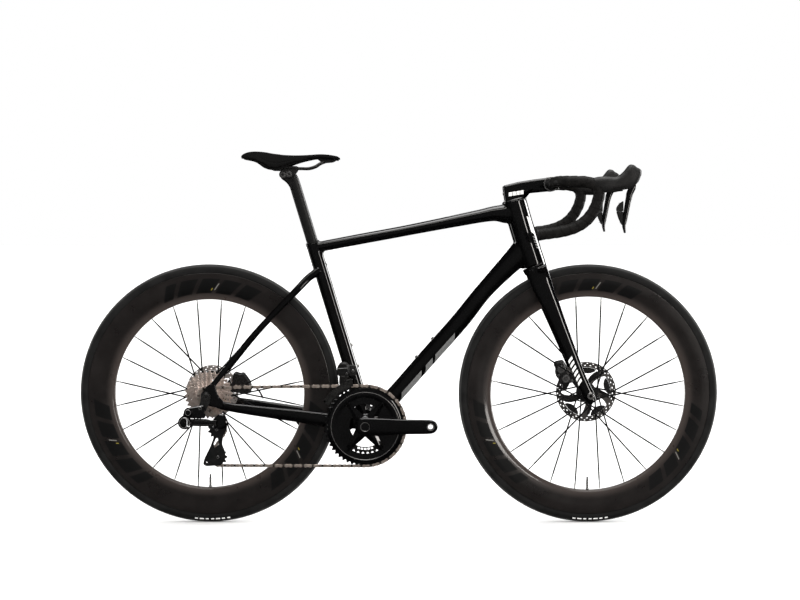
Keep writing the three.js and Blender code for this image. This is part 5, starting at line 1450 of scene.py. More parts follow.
def toothed(cx, cz, teeth, root, tip, phase=0.0, top=0.28):
    """Outline of a sprocket: rounded roots and narrow flat tips."""
    pts = []
    for i in range(teeth):
        for f, r in ((-0.5, root), (-0.34, root + (tip - root) * 0.22), (-top / 2, tip - (tip - root) * 0.08), (0, tip), (top / 2, tip - (tip - root) * 0.08), (0.34, root + (tip - root) * 0.22)):
            t = phase + (i + f) / teeth * TAU
            pts.append((cx + r * math.cos(t), cz + r * math.sin(t)))
    return pts


b = Build()
for i, teeth in enumerate(COGS):
    y = COG_Y + i * COG_STEP
    pr = pitch_radius(teeth)
    holes = [circle(REAR_X, AXLE_Z, 17.2 if i else 14.2, 40)]
    if teeth >= 17:
        # lightening windows between spider arms
        count = 7 if teeth < 24 else 9
        for k in range(count):
            c = k / count * TAU + i * 0.12
            r0, r1 = 20.5, pr - 7.0
            if r1 - r0 > 3:
                half = 0.30 if teeth < 24 else 0.24
                win = [(REAR_X + r1 * math.cos(c + t), AXLE_Z + r1 * math.sin(c + t)) for t in np.linspace(-half, half, 5)]
                win += [(REAR_X + r0 * math.cos(c + t), AXLE_Z + r0 * math.sin(c + t)) for t in np.linspace(half * 0.7, -half * 0.7, 4)]
                holes.append(rounded(win, 1.5, 2))
    b.prism(toothed(REAR_X, AXLE_Z, teeth, pr - 4.0, pr + 2.6, phase=i * 0.1), holes, y - 0.85, y + 0.85, 0.25)
b.make("cassette_cogs", COG, "cassette_body", "bronze_steel", "cassette", angle=25)
b = Build()
last = COG_Y + 11 * COG_STEP
b.lathe([(8.2, -70.6), (14.8, -70.6), (15.2, -70.0), (15.2, -65.6), (16.8, -65.2), (16.8, last - 1), (18.0, last - 0.6), (18.0, last + 0.8), (8.2, last + 0.8)], REAR_X, AXLE_Z, 64)
for i in range(1, 12):
    y = COG_Y + (i - 0.5) * COG_STEP
    b.lathe([(16.5, y - 0.8), (19.2, y - 0.8), (19.2, y + 0.8), (16.5, y + 0.8)], REAR_X, AXLE_Z, 48)
b.make("freehub_and_spacers", ALLOY, "cassette_body", "bronze_steel")

# outer ring: teeth, a raised rim line in lighter grey metal that is a painted highlight, and a wide dished web
b = Build()
R52, R36 = pitch_radius(52), pitch_radius(36)


def window(cx, cz, r0, r1, c, half, taper=1.0, step=3):
    w = [(cx + r1 * math.cos(c + t), cz + r1 * math.sin(c + t)) for t in np.linspace(-half, half, 9)]
    w += [(cx + r0 * math.cos(c + t), cz + r0 * math.sin(c + t)) for t in np.linspace(half * taper, -half * taper, 7)]
    return rounded(w, step, 3)


b.prism(toothed(BB_X, BB_Z, 52, R52 - 4.1, R52 + 2.0, phase=0.02), [circle(BB_X, BB_Z, 78, 96)], RING_OUT_Y - 1.0, RING_OUT_Y + 1.0, 0.4)
b.make("outer_ring_teeth", GLOSS, "cranks", "black_alloy", "chainring_outer", angle=25)
b = Build()
# the moulded web: rises outboard from the tooth line, then falls towards the arms
b.lathe([(99.6, -49.1), (98.4, -50.9), (95.0, -52.6), (91.0, -53.4), (88.4, -53.5), (87.4, -52.9), (84, -53.0), (78, -52.4), (72.5, -51.2), (72.0, -50.0), (73.0, -49.0)], BB_X, BB_Z, 192)
b.make("outer_ring_web", GLOSS, "cranks", "black_alloy", angle=28)
# painted highlight: the raised line on the web is drawn in grey metal, lighter than the black ring round it
b = Build()
b.lathe([(89.7, -53.42), (89.0, -53.78), (88.2, -53.78), (87.7, -53.3), (88.4, -53.2)], BB_X, BB_Z, 192)
b.make("outer_ring_highlight_line", GREY_ALLOY, "cranks", "black_alloy")

b = Build()
slots = [window(BB_X, BB_Z, 58.5, 63.5, math.radians(-90 + k * 8.2), 0.050, 1.0, 1.2) for k in (-2, -1, 0, 1, 2)]
b.prism(toothed(BB_X, BB_Z, 36, R36 - 4.1, R36 + 2.6), [circle(BB_X, BB_Z, 56, 96)] + slots, RING_IN_Y - 0.9, RING_IN_Y + 0.9, 0.35)
b.make("inner_ring_plate", ALLOY, "cranks", "black_alloy", "chainring_inner", angle=25)
b = Build()
for deg in (54, 126, 234, 306):
    t = math.radians(deg)
    x, z = BB_X + 60 * math.cos(t), BB_Z + 60 * math.sin(t)
    b.cyl((x, -40.2, z), (x, -47.0, z), 5.4, 28, bevel=0.6)
    hex_bolt(b, (x, -40.4, z), (x, -38.6, z), 4.4)
b.make("chainring_bolts", BOLT, "cranks", "black_alloy")


# closed webs between the arms, everywhere but at the bottom
b = Build()
for c0, c1 in ((311, 409), (131, 229)):
    c = math.radians((c0 + c1) / 2)
    half_ = math.radians((c1 - c0) / 2)
    pts = [(BB_X + r_ * math.cos(c + t), BB_Z + r_ * math.sin(c + t)) for r_, tt in ((74, np.linspace(-half_, half_, 19)), (40.0, np.linspace(half_ * 0.9, -half_ * 0.9, 15))) for t in tt]
    b.prism(rounded(pts, 3, 3), [], -51.4, -48.6, 0.8)
c = math.radians(90)
half_ = math.radians(37)
pts = [(BB_X + r_ * math.cos(c + t), BB_Z + r_ * math.sin(c + t)) for r_, tt in ((74, np.linspace(-half_, half_, 19)), (57.5, np.linspace(half_ * 0.96, -half_ * 0.96, 15))) for t in tt]
b.prism(rounded(pts, 3, 3), [], -51.4, -48.6, 0.8)
b.make("outer_ring_inner_web", GLOSS, "cranks", "black_alloy", angle=28)


def folded_arm(deg, tip_r, root_w, root_r=16):
    """A star arm: a ridge down its middle, faces falling to sharp edges, drawn to a point at the ring."""
    t = math.radians(deg)
    c, s = math.cos(t), math.sin(t)
    rows = []
    for f in np.linspace(0, 1, 14):
        r = root_r + (tip_r - root_r) * f
        w = root_w * (1 - f) ** 0.85 + 1.0
        ridge = -59.5 + 5.2 * f
        edge = -55.4 + 3.0 * f
        back = -50.2 - 0.2 * f
        sec = [(-w, edge), (-w * 0.5, (edge + ridge) / 2), (-0.8, ridge), (0.8, ridge), (w * 0.5, (edge + ridge) / 2), (w, edge), (w * 0.96, back), (0, back), (-w * 0.96, back)]
        rows.append([(BB_X + c * r - s * q, y, BB_Z + s * r + c * q) for q, y in sec])
    return np.array(rows)


ARM = [[-25, 9, 51, 60], [-20, 17, 50.6, 64], [-12, 22, 50.5, 66.2], [0, 23.2, 50.5, 67.4], [14, 23, 51.2, 68.2], [40, 22, 54, 69.5], [75, 20.4, 59.2, 71],
       [110, 19.3, 60, 72.3], [160, 18.6, 60, 72.4], [174, 17.2, 60, 72.4], [183, 12.5, 60.4, 72.2], [187.5, 6.0, 61.4, 71.4]]


def arm_rows(sign, turn, spindle_in):
    S = through(ARM, 90, 1)
    u, v = outline(56, 4.0)
    rows = []
    for x, h, y0, y1 in S:
        mid, half = (y0 + y1) / 2, (y1 - y0) / 2
        rows.append([(BB_X + turn * x, sign * (mid + half * v[k]), BB_Z + h * u[k]) for k in range(56)])
    return np.array(rows)


b = Build()
b.grid(arm_rows(-1, 1, 0), dome=1.0)
o = b.make("crank_arm_blade_right", GLOSS)
k = Build()
k.cyl((BB_X + CRANK, -80, BB_Z), (BB_X + CRANK, -40, BB_Z), 7.15, 40, bevel=0)
cut_away(o, k)
o.data.set_sharp_from_angle(angle=math.radians(32))
finish_piece(o, "cranks", "crank_arm_right")
b = Build()
for deg, tip, w in ((54, 84, 15), (126, 80, 15), (234, 84, 16), (306, 84, 16)):
    b.grid(folded_arm(deg, tip, w))
b.lathe([(12, -58), (24, -57.4), (27, -55), (27, -50.2), (25.6, -47.6), (12, -47.4)], BB_X, BB_Z, 96)
# feet that carry the two rings
for deg in (54, 126, 234, 306):
    t = math.radians(deg)
    c, s = math.cos(t), math.sin(t)
    foot = [(50, -7), (66, -6.4), (80, -3), (84, 0), (80, 3), (66, 6.4), (50, 7)]
    b.prism([(BB_X + c * r - s * q, BB_Z + s * r + c * q) for r, q in foot], [], -51.0, -43.2, 0.8)
    foot = [(20, -9), (52, -7), (52, 7), (20, 9)]
    b.prism([(BB_X + c * r - s * q, BB_Z + s * r + c * q) for r, q in foot], [], -50.6, -44.0, 0.8)
b.make("crank_star", GLOSS, "cranks", "black_alloy", angle=22)
b = Build()
b.cyl((BB_X, -60, BB_Z), (BB_X, 59.6, BB_Z), 12, 56)
b.make("crank_spindle", GREY_ALLOY, "cranks", "black_alloy")
b = Build()
b.grid(arm_rows(1, -1, 0), dome=1.0)
o = b.make("crank_arm_blade_left", GLOSS)
for y0, r in ((40, 12.2),):
    k = Build()
    k.cyl((BB_X, 40, BB_Z), (BB_X, 60.2, BB_Z), r, 56, bevel=0)
    cut_away(o, k)
k = Build()
k.cyl((BB_X - CRANK, 40, BB_Z), (BB_X - CRANK, 90, BB_Z), 7.15, 40, bevel=0)
cut_away(o, k)
o.data.set_sharp_from_angle(angle=math.radians(32))
finish_piece(o, "cranks", "crank_arm_left")
b = Build()
# threaded sleeves in both pedal eyes, the left arm's cap and its pinch bolts
for sx, sy in ((1, -1), (-1, 1)):
    x = BB_X + sx * CRANK
    for k in range(9):
        y = sy * (60.6 + k * 1.25)
        b.lathe([(6.9, y - 0.45), (7.4, y - 0.55), (7.4, y + 0.55), (6.9, y + 0.45), (6.55, y)], x, BB_Z, 40)
    b.lathe([(7.15, sy * 71.4), (7.15, sy * 72.5), (9.6, sy * 72.5), (9.8, sy * 72.3), (9.8, sy * 71.4)], x, BB_Z, 48)
for k in (-1, 1):
    hex_bolt(b, (BB_X - 26, 55 + k * 3.4, BB_Z + 6), (BB_X - 26, 55 + k * 3.4, BB_Z + 21.2), 2.6)
b.lathe([(4.5, 66.2), (9.4, 67.4), (10.2, 66.6), (10.2, 64.0), (4.5, 64.0)], BB_X, BB_Z, 56)
b.make("pedal_eyes_and_cap", GREY_ALLOY, "cranks", "black_alloy")
b = Build()
b.lathe([(10.6, -67.2), (11.4, -68.1), (12.2, -68.0), (12.4, -67.0), (10.6, -66.6)], BB_X, BB_Z, 64)
b.make("crank_bore_ring", GREY_ALLOY, "cranks", "black_alloy")

# ------------------------------------------------------------------ rear derailleur
GUIDE, TENSION, PIVOT = (-472, 254), (-469.8, 182.3), (-457, 277)
PR = pitch_radius(11)
for name, c, body in (("guide_pulley", GUIDE, "guide_pulley_body"), ("tension_pulley", TENSION, "tension_pulley_body")):
    b = Build()
    holes = [circle(c[0], c[1], 3.7, 24)] + [circle(c[0] + 10.6 * math.cos(t), c[1] + 10.6 * math.sin(t), 2.6, 14) for t in np.arange(5) / 5 * TAU]
    b.prism(toothed(c[0], c[1], 11, PR - 3.6, PR + 1.9, top=0.22), holes, COG_Y - 1.0, COG_Y + 1.0, 0.35)
    b.lathe([(3.7, COG_Y - 2.2), (6.8, COG_Y - 2.0), (6.8, COG_Y + 2.0), (3.7, COG_Y + 2.2)], c[0], c[1], 40)
    b.make(name + "_toothed", PLASTIC, body, "carbon_matte", name, angle=25)
CAGE = [
    (-447, 268), (-446, 256), (-457, 236), (-460, 214), (-452, 196), (-451, 176), (-460, 161), (-500, 158.5), (-508, 163), (-506, 176),
    (-490, 208), (-480, 234), (-486, 254), (-478, 268), (-462, 274)]
b = Build()
cage_holes = [rounded([(-470, 232), (-466, 216), (-478, 206), (-482, 214), (-474, 234)], 2.5, 3), rounded([(-463, 192), (-486, 200), (-497, 178), (-492, 172), (-480, 166), (-466, 166), (-461, 174)], 4, 3)]
inner_holes = [rounded([(-470, 232), (-466, 216), (-478, 206), (-482, 214), (-474, 234)], 2.5, 3)]
b.prism(rounded(CAGE, 7, 4), [cage_holes[0], circle(-499, 168, 2.4, 12), circle(-489, 166.5, 1.8, 12)], -71.4, -69.9, 0.5)
b.prism(rounded(CAGE, 7, 4), inner_holes + [circle(-499, 168, 2.4, 12)], -59.9, -58.5, 0.4)
b.cyl((PIVOT[0], -76.2, PIVOT[1] - 6), (PIVOT[0], -71, PIVOT[1] - 6), 10, 44, bevel=0.8)
b.make("derailleur_cage_plates", PLASTIC, "derailleur_cage", "carbon_matte", "rear_derailleur_cage", angle=28)
b = Build()
for c in (GUIDE, TENSION):
    hex_bolt(b, (c[0], -71.0, c[1]), (c[0], -73.2, c[1]), 3.9)
    b.cyl((c[0], -70.6, c[1]), (c[0], -58.2, c[1]), 3.0, 24)
b.make("pulley_bolts", BOLT, "derailleur_cage", "black_alloy")

b = Build()
KX, KZ = PIVOT
b.lathe([(2, -98.0), (11.6, -98.0), (14.2, -96.9), (15.4, -94.4), (15.4, -79.6), (14.6, -77.6), (12.8, -77.0), (2, -77.0)], KX, KZ - 3, 72)
b.prism(rounded([(KX - 22, KZ + 8.6), (KX - 4, KZ + 23), (KX + 9.4, KZ + 19.4), (KX + 13.4, KZ - 7.6), (KX - 6, KZ - 17.6), (KX - 22, KZ - 13.4)], 6, 4), [], -103.2, -90.6, 2.4)
o = b.make("p_knuckle", GLOSS)
k = Build()
k.prism([(KX - 40, KZ - 11), (KX - 9, KZ - 11), (KX - 9, KZ + 6), (KX - 40, KZ + 6)], [], -110, -80, 0)
cut_away(o, k)
o.data.set_sharp_from_angle(angle=math.radians(30))
finish_piece(o, "derailleur_knuckle", "rear_derailleur_knuckle")
b = Build()
b.lathe([(3, -98.2), (8.8, -98.2), (9.2, -98.7), (8.4, -99.2), (3, -99.2)], KX, KZ - 3, 56)
hex_bolt(b, (KX - 14, -97, KZ - 14.6), (KX - 14, -97, KZ - 12), 3.0)
b.make("p_knuckle_cap", BOLT, "derailleur_knuckle", "black_alloy")
b = Build()
# two slim arms of the parallelogram, one above the other
for z0, z1 in ((KZ - 10.0, KZ - 5.4), (KZ + 0.2, KZ + 4.8)):
    rows = []
    for x, y, w in through([[-543, -90, 5.2], [-520, -92.5, 5.8], [-495, -95, 5.8], [-471.5, -96.8, 3.6]], 24, 2):
        u, v = outline(24, 3.4)
        rows.append([(x, y + v[i] * w * 0.85, (z0 + z1) / 2 + u[i] * (z1 - z0) / 2) for i in range(24)])
    b.grid(np.array(rows))
b.cyl((-536.5, -90.6, KZ - 9.6), (-536.5, -90.6, KZ + 4.6), 3.0, 24)
b.cyl((-472.6, -96.6, KZ - 9.6), (-472.6, -96.6, KZ + 4.6), 2.4, 24)
rows = []
for x, y, w, h_, c_ in through([[-546, -88, 3.2, 8.6, -1.6], [-520, -90.5, 4.6, 9.6, -1.6], [-495, -93, 4.6, 9.4, -1.8], [-481, -95.2, 3.2, 6.4, -2.8], [-474, -95.8, 2.6, 5.2, -3.0]], 24, 1):
    u, v = outline(24, 3.4)
    rows.append([(x, y + v[i] * w, KZ + c_ + u[i] * h_) for i in range(24)])
b.grid(np.array(rows))
b.make("parallelogram_arms", ALLOY, "derailleur_link", "black_alloy", "rear_derailleur_linkage", angle=30)
b = Build()
b.prism(rounded([(-503, 321), (-497.6, 309), (-503, 299), (-520, 296.6), (-536, 291), (-551, 292.6), (-555, 304), (-546, 313.4), (-520, 317.4)], 5, 4), [], -96.4, -85.2, 2.0)
b.prism(rounded([(-549, 286.4), (-549, 299), (-520, 303), (-501, 303), (-497.5, 294), (-501, 286.4)], 3, 3), [], -95.4, -86.2, 2.0)
b.lathe([(1.5, -100.8), (7.6, -100.8), (10.6, -99.6), (11.4, -97.6), (11.4, -84), (10.4, -82.2), (1.5, -82.0)], -542.6, 302, 64)
b.lathe([(1.5, -104.8), (13.0, -104.8), (16.2, -103.4), (17.4, -100.6), (17.4, -79.4), (16.2, -77), (14, -76.2), (1.5, -76.2)], -551, 276, 72)
b.prism(rounded([(-555.6, 300), (-534.6, 300), (-534.6, 289.6), (-555.6, 284)], 3, 2), [], -98.4, -80.6, 1.4)
o = b.make("derailleur_motor", GLOSS)
k = Build()
k.prism([(-548.8, 262), (-490, 262), (-490, 286.0), (-548.8, 286.0)], [], -130, -60, 0)
cut_away(o, k)
o.data.set_sharp_from_angle(angle=math.radians(30))
finish_piece(o, "frame", "rear_derailleur_body")
b = Build()
b.lathe([(11.8, -104.95), (13.4, -105.0), (14.0, -104.5), (12.6, -104.4)], -551, 276, 64)
b.lathe([(6.0, -100.95), (7.6, -101.0), (8.0, -100.6), (6.6, -100.5)], -542.6, 302, 48)
hex_bolt(b, (-511.5, -85.6, 313), (-511.5, -97.4, 313), 4.6)
b.make("derailleur_trim", BOLT, "frame", "black_alloy")

# ------------------------------------------------------------------ front derailleur
lo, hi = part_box("front_derailleur_body")
b = Build()
side_out = [(-162.5, 397), (-160.5, 415), (-153, 425.5), (-143, 427.6), (-133, 424.5), (-128.6, 412), (-129, 396), (-136, 389.4), (-156, 389)]
b.prism(rounded(side_out, 6, 5), [], -43.6, -20.6, 5.0)
o = b.make("front_derailleur_motor", PLASTIC)
k = Build()
k.loft([[s[0], s[1], s[2] + 0.5, s[3] + 0.5, 0] for s in SEAT_TUBE], 48, 40, 2.4)
cut_away(o, k)
o.data.set_sharp_from_angle(angle=math.radians(30))
finish_piece(o, "frame", "front_derailleur_body")
b = Build()
b.prism(rounded([(-158, 409.8), (-134, 411.0), (-134, 412.4), (-158, 411.2)], 0.6, 2), [], -44.0, -43.2, 0.2)
b.make("front_derailleur_line", SILVER, "frame", "black_alloy")
b = Build()
b.prism(rounded([(-149.5, 389), (-113, 389), (-111.5, 396), (-113, 416), (-121, 417.6), (-149.5, 417)], 3, 3), [], -23.6, -16.6, 1.2)
o = b.make("front_derailleur_mount", ALLOY)
k = Build()
k.loft([[s[0], s[1], s[2] + 0.5, s[3] + 0.5, 0] for s in SEAT_TUBE], 48, 40, 2.4)
cut_away(o, k)
o.data.set_sharp_from_angle(angle=math.radians(30))
finish_piece(o, "frame")
b = Build()
hex_bolt(b, (-120.5, -23.4, 402), (-120.5, -25.6, 402), 3.8)
hex_bolt(b, (-136, -43.2, 396.5), (-136, -44.8, 396.5), 2.8)
b.make("front_derailleur_bolts", BOLT, "frame", "black_alloy")


def ring_piece(r0, r1, d0, d1, n=24):
    out = [(BB_X + r1 * math.cos(math.radians(d0 + (d1 - d0) * i / n)), BB_Z + r1 * math.sin(math.radians(d0 + (d1 - d0) * i / n))) for i in range(n + 1)]
    out += [(BB_X + r0 * math.cos(math.radians(d0 + (d1 - d0) * i / n)), BB_Z + r0 * math.sin(math.radians(d0 + (d1 - d0) * i / n))) for i in range(n, -1, -1)]
    return out


b = Build()
b.prism(rounded(ring_piece(109.5, 126.6, 106, 150), 3, 2), [], -57.1, -56.1, 0.25)
b.prism(rounded(ring_piece(103.5, 126.6, 106, 150), 3, 2), [], -43.3, -42.3, 0.25)
b.prism(rounded(ring_piece(124.8, 129.6, 105.4, 112), 1.5, 2), [], -57.1, -42.3, 0.3)
b.prism(rounded(ring_piece(121, 126.4, 146.4, 149.8), 1.5, 2), [], -57.1, -42.3, 0.3)
b.prism(rounded([(-156, 372), (-150, 360), (-133, 364), (-131, 391.0), (-155, 391.0)], 3, 3), [], -43.8, -41.2, 0.5)
b.make("front_derailleur_plates", RAIL, "front_cage", "steel", "front_derailleur_cage", angle=28)

# ------------------------------------------------------------------ chain
def chain_path():
    """The closed loop as [x, y, z] every half pitch or less, with each point's run name."""
    ring, cog = (BB_X, BB_Z), (REAR_X, AXLE_Z)
    hops = [(cog, PR, -1, COG_Y, "cog"), (ring, R52, -1, RING_OUT_Y, "ring"), (TENSION, PR, -1, COG_Y, "tension"), (GUIDE, PR, 1, COG_Y, "guide")]
    lines = []
    for i, (c1, r1, s1, y1, n1) in enumerate(hops):
        c2, r2, s2, y2, n2 = hops[(i + 1) % 4]
        dx, dz = c2[0] - c1[0], c2[1] - c1[1]
        d = math.hypot(dx, dz)
        k = (s1 * r1 - s2 * r2) / d
        phi = math.atan2(dz, dx) + math.asin(k)
        u = (math.cos(phi), math.sin(phi))
        nl = (-u[1], u[0])
        lines.append(((c1[0] - nl[0] * s1 * r1, c1[1] - nl[1] * s1 * r1), (c2[0] - nl[0] * s2 * r2, c2[1] - nl[1] * s2 * r2)))
    pts, tags = [], []
    for i, (c, r, s, y, name) in enumerate(hops):
        inn, out = lines[(i + 3) % 4][1], lines[i][0]
        a0 = math.atan2(inn[1] - c[1], inn[0] - c[0])
        a1 = math.atan2(out[1] - c[1], out[0] - c[0])
        if s > 0:
            while a1 < a0:
                a1 += TAU
        else:
            while a1 > a0:
                a1 -= TAU
        n = max(4, int(abs(a1 - a0) * r / 1.5))
        for k in range(n + 1):
            a = a0 + (a1 - a0) * k / n
            pts.append((c[0] + r * math.cos(a), y, c[1] + r * math.sin(a)))
            tags.append(name)
        ny = hops[(i + 1) % 4][3]
        o, q = lines[i]
        L = math.hypot(q[0] - o[0], q[1] - o[1])
        m = max(3, int(L / 3))
        for k in range(1, m):
            f = k / m
            g = min(max((f - 0.08) / 0.84, 0), 1)
            pts.append((o[0] + (q[0] - o[0]) * f, y + (ny - y) * g, o[1] + (q[1] - o[1]) * f))
            tags.append(name + ">" + hops[(i + 1) % 4][4])
    return np.array(pts), tags


CP, CT = chain_path()
cum = np.r_[0, np.cumsum(np.linalg.norm(np.diff(np.vstack([CP, CP[:1]]), axis=0), axis=1))]
total = cum[-1]
LINKS = int(round(total / PITCH / 2)) * 2
step = total / LINKS


def at(s):
    s %= total
    i = int(min(np.searchsorted(cum, s, side="right") - 1, len(CP) - 1))
    f = (s - cum[i]) / (cum[i + 1] - cum[i])
    return CP[i] + (CP[(i + 1) % len(CP)] - CP[i]) * f, CT[i] if f < 0.5 else CT[(i + 1) % len(CP)]


RUNS = {
    "cog": "fixed", "cog>ring": "fixed", "ring": "fixed", "ring>tension": "lower", "tension": "cage", "tension>guide": "cage", "guide": "cage", "guide>cog": "feed"}
parts = {k: Build() for k in ("fixed", "lower_a", "lower_b", "cage", "feed")}
pins = {k: Build() for k in parts}


def link_outline(p, q, h):
    """A waisted side plate from pin p to pin q, half height h at the pins."""
    d = (q - p) / np.linalg.norm(q - p)
    n = np.array([-d[1], d[0]])
    out = []
    for t in np.linspace(math.pi / 2, 3 * math.pi / 2, 6):
        out.append(p + d * h * math.cos(t) + n * h * math.sin(t))
    out.append((p + q) / 2 - n * h * 0.76)
    for t in np.linspace(-math.pi / 2, math.pi / 2, 6):
        out.append(q + d * h * math.cos(t) + n * h * math.sin(t))
    out.append((p + q) / 2 + n * h * 0.76)
    return [tuple(v) for v in out]


inner_parts = {key: Build() for key in parts}
for i in range(LINKS):
    (p, tag), (q, tag2) = at(i * step), at((i + 1) * step)
    run = RUNS[tag if ">" in tag else tag2 if ">" in tag2 else tag]
    if run == "lower":
        run = "lower_a" if (p[0] + q[0]) / 2 > -290 else "lower_b"
    outer = i % 2 == 0
    h = 4.15
    yy = 2.35 if outer else 1.5
    dy = (q[1] - p[1])
    for s in (-1, 1):
        ya, yb = (yy - 0.7, yy) if s > 0 else (-yy, -yy + 0.7)
        o2 = link_outline(np.array([p[0], p[2]]), np.array([q[0], q[2]]), h)
        mid = (p + q) / 2
        L2 = (q[0] - p[0]) ** 2 + (q[2] - p[2]) ** 2

        def carry(x, y, z, p=p, q=q, L2=L2, dy=dy):
            f = ((x - p[0]) * (q[0] - p[0]) + (z - p[2]) * (q[2] - p[2])) / L2
            return (x, y + p[1] + dy * f, z)

        (parts if outer else inner_parts)[run].prism(o2, [], ya, yb, 0.12, where=carry)
    pins[run].cyl((p[0], p[1] - 2.75, p[2]), (p[0], p[1] + 2.75, p[2]), 1.5, 10, bevel=0.2)
    inner_parts[run].cyl((p[0], p[1] - 0.8, p[2]), (p[0], p[1] + 0.8, p[2]), 3.6, 14, bevel=0.1)

for key, bb in parts.items():
    # inner plates and rollers take the darker chain tone, the painted shade between the outer plates
    for kind, build, material in (("links", bb, CHAIN), ("inner", inner_parts[key], CHAIN_SHADE), ("pins", pins[key], STEEL)):
        o = build.make("chain_%s_%s" % (kind, key), material, angle=30)
        if key == "fixed":
            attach(o, "frame")
            if kind == "links":
                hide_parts("chain")
        elif key == "cage":
            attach(o, "derailleur_cage")
        elif key == "lower_a":
            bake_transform(o)
        elif key == "lower_b":
            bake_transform(o)
        else:
            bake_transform(o)

# ------------------------------------------------------------------ seatpost and saddle
HEAD_C = seat_at(233, -1)
b = Build()
b.grid(loft_points([seat_station(SEAT_TOP - 125, POST_A, POST_B), seat_station(SEAT_TOP, POST_A, POST_B), seat_station(150, POST_A, POST_B), seat_station(200, POST_A, POST_B),
                    seat_station(215, POST_A - 0.4, POST_B), seat_station(226, 13.2, 11.6), seat_station(233, 11.0, 11.4)], 64, 120, 2.3))
round_bar(b, (HEAD_C[0], -15, HEAD_C[2]), (HEAD_C[0], 15, HEAD_C[2]), 11, 64, 1.2)
hx, hz = HEAD_C[0], HEAD_C[2]
neck = [(hx + 4, 911), (hx - 25, 911), (hx - 28, 908), (hx - 25, 903.4), (hx - 17, 898), (hx - 10, 891.5), (hx - 4, 882), (hx - 0.5, 874), (hx + 6, 874)]
b.prism(rounded(neck, 4, 4), [], -12.8, 12.8, 4.0)
b.make("seatpost_shaft", CARBON, "seatpost_body", "carbon_matte", "seatpost")

b = Build()
# lower cradle: two cheeks beside the post head with rail grooves
for s in (-1, 1):
    cheek = [(hx - 20.5, 931), (hx + 18.4, 931), (hx + 13.6, 922), (hx + 5, 911.4), (hx - 10, 905), (hx - 22, 904.5), (hx - 29.6, 909), (hx - 31, 917), (hx - 26, 926)]
    y0, y1 = (16.3, 27.6) if s > 0 else (-27.6, -16.3)
    b.prism(rounded(cheek, 5, 5), [], y0, y1, 2.2)
    cap = [(hx - 18.4, 931.8), (hx + 18.4, 931.8), (hx + 16.6, 936.9), (hx - 16.6, 936.9)]
    b.prism(rounded(cap, 2.4, 3), [], y0, y1, 0.9)
b.prism(rounded([(hx - 17, 929), (hx + 17, 929), (hx + 16.4, 936.2), (hx - 16.4, 936.2)], 2, 3), [], -16.5, 16.5, 0.6)
o = b.make("clamp_cradle", ALLOY)
for y in (-22, 22):
    k = Build()
    k.cyl((-340, y, 931), (-220, y, 931), 4.0, 28, bevel=0)
    cut_away(o, k)
    # the groove flares at its rear, where the rails' bend comes up to it at full travel
    k = Build()
    k.cyl((-326, y * 1.14, 933.6), (-294, y, 931), 6.0, 28, r2=3.9, bevel=0)
    cut_away(o, k)
o.data.set_sharp_from_angle(angle=math.radians(30))
finish_piece(o, "clamp_body", "saddle_clamp")
b = Build()
for s in (-1, 1):
    for x, z, r in ((hx - 20.6, 914.8, 6.2), (hx - 4.6, 916.4, 6.6)):
        hex_bolt(b, (x, s * 26.4, z), (x, s * 29.4, z), r)
        b.lathe([(r + 0.2, s * 27.7), (r + 1.3, s * 27.7), (r + 1.1, s * 28.3), (r + 0.3, s * 28.4)], x, z, 40)
for dx in (-12, 12):
    hex_bolt(b, (hx + dx, 0, 935.2), (hx + dx, 0, 936.8), 3.4)
b.make("clamp_bolts", BOLT, "clamp_body", "black_alloy")

half = [[-384, 42, 956.6], [-372, 40, 951.6], [-360, 36, 943.5], [-346, 27, 934], [-330, 22, 931], [-305, 22, 931], [-280, 22, 931], [-255, 22, 931], [-236, 22, 931],
        [-218, 20, 936], [-205, 15, 944], [-192, 8, 948.5]]
rail = [[x, -y, z] for x, y, z in half] + [[-186, 0, 949.5]] + half[::-1]
b = Build()
b.tube(through(rail, 220, 3), 3.45, 24, dome=1.0)
b.make("saddle_rail_wire", RAIL, "saddle_body", "steel", "saddle_rails")
b = Build()
for s in (-1, 1):
    b.cyl((-388, s * 43.2, 959.4), (-371, s * 39.6, 951.2), 6.4, 28, r2=5.0, bevel=1.4)
b.prism(rounded([(-216, 958), (-166, 956.5), (-163, 952), (-172, 947.2), (-190, 945.6), (-203, 947.4)], 3, 4), [], -11.5, 11.5, 2.4)
b.make("rail_sockets", PLASTIC, "saddle_body", "carbon_matte")

SAD = [[-413.5, 24, 965, 962, 8], [-403, 50, 972, 961, 11], [-386, 66, 977, 958.5, 12], [-372, 69.5, 977.2, 955, 12], [-360, 71, 976.5, 950, 12], [-345, 69.5, 974.8, 940.5, 11.5],
    [-330, 66, 972.5, 933, 11], [-315, 60, 971, 932.5, 11], [-300, 53, 969.5, 937, 11], [-285, 45, 969, 943.5, 11], [-270, 38, 968.8, 949, 11], [-240, 27, 970, 957, 11],
    [-210, 21, 970.5, 962, 12], [-180, 18, 968.6, 960.4, 12.5], [-160, 13.5, 965, 957.5, 11], [-151.6, 7, 961.5, 955.5, 7]]
SS = through(SAD, 90, 1)


def saddle_rows(shrink, drop_by, thick, relief=0.0):
    """Closed rows round the saddle's section: over the top, then back underneath."""
    rows = []
    m = 30
    for x, w, zc, ze, t in SS:
        w = max(w - shrink, 2.0)
        th = t * thick
        row = []
        for k in range(m + 1):
            u = -1 + 2 * k / m
            z = zc + (ze - zc) * abs(u) ** 2.3 - drop_by
            # relief channel down the middle, from the rear to the start of the nose
            fade = min(max((x + 405) / 25, 0), 1) * min(max((-205 - x) / 40, 0), 1)
            z -= relief * fade * math.exp(-((u * w) / 7.5) ** 2)
            row.append((x, u * w, z))
        for k in range(m + 1):
            u = 1 - 2 * k / m
            z = zc + (ze - zc) * abs(u) ** 2.3 - drop_by
            row.append((x, u * (w - 2.0), z - th * (1 - 0.5 * abs(u) ** 2.3)))
        rows.append(row)
    return np.array(rows)


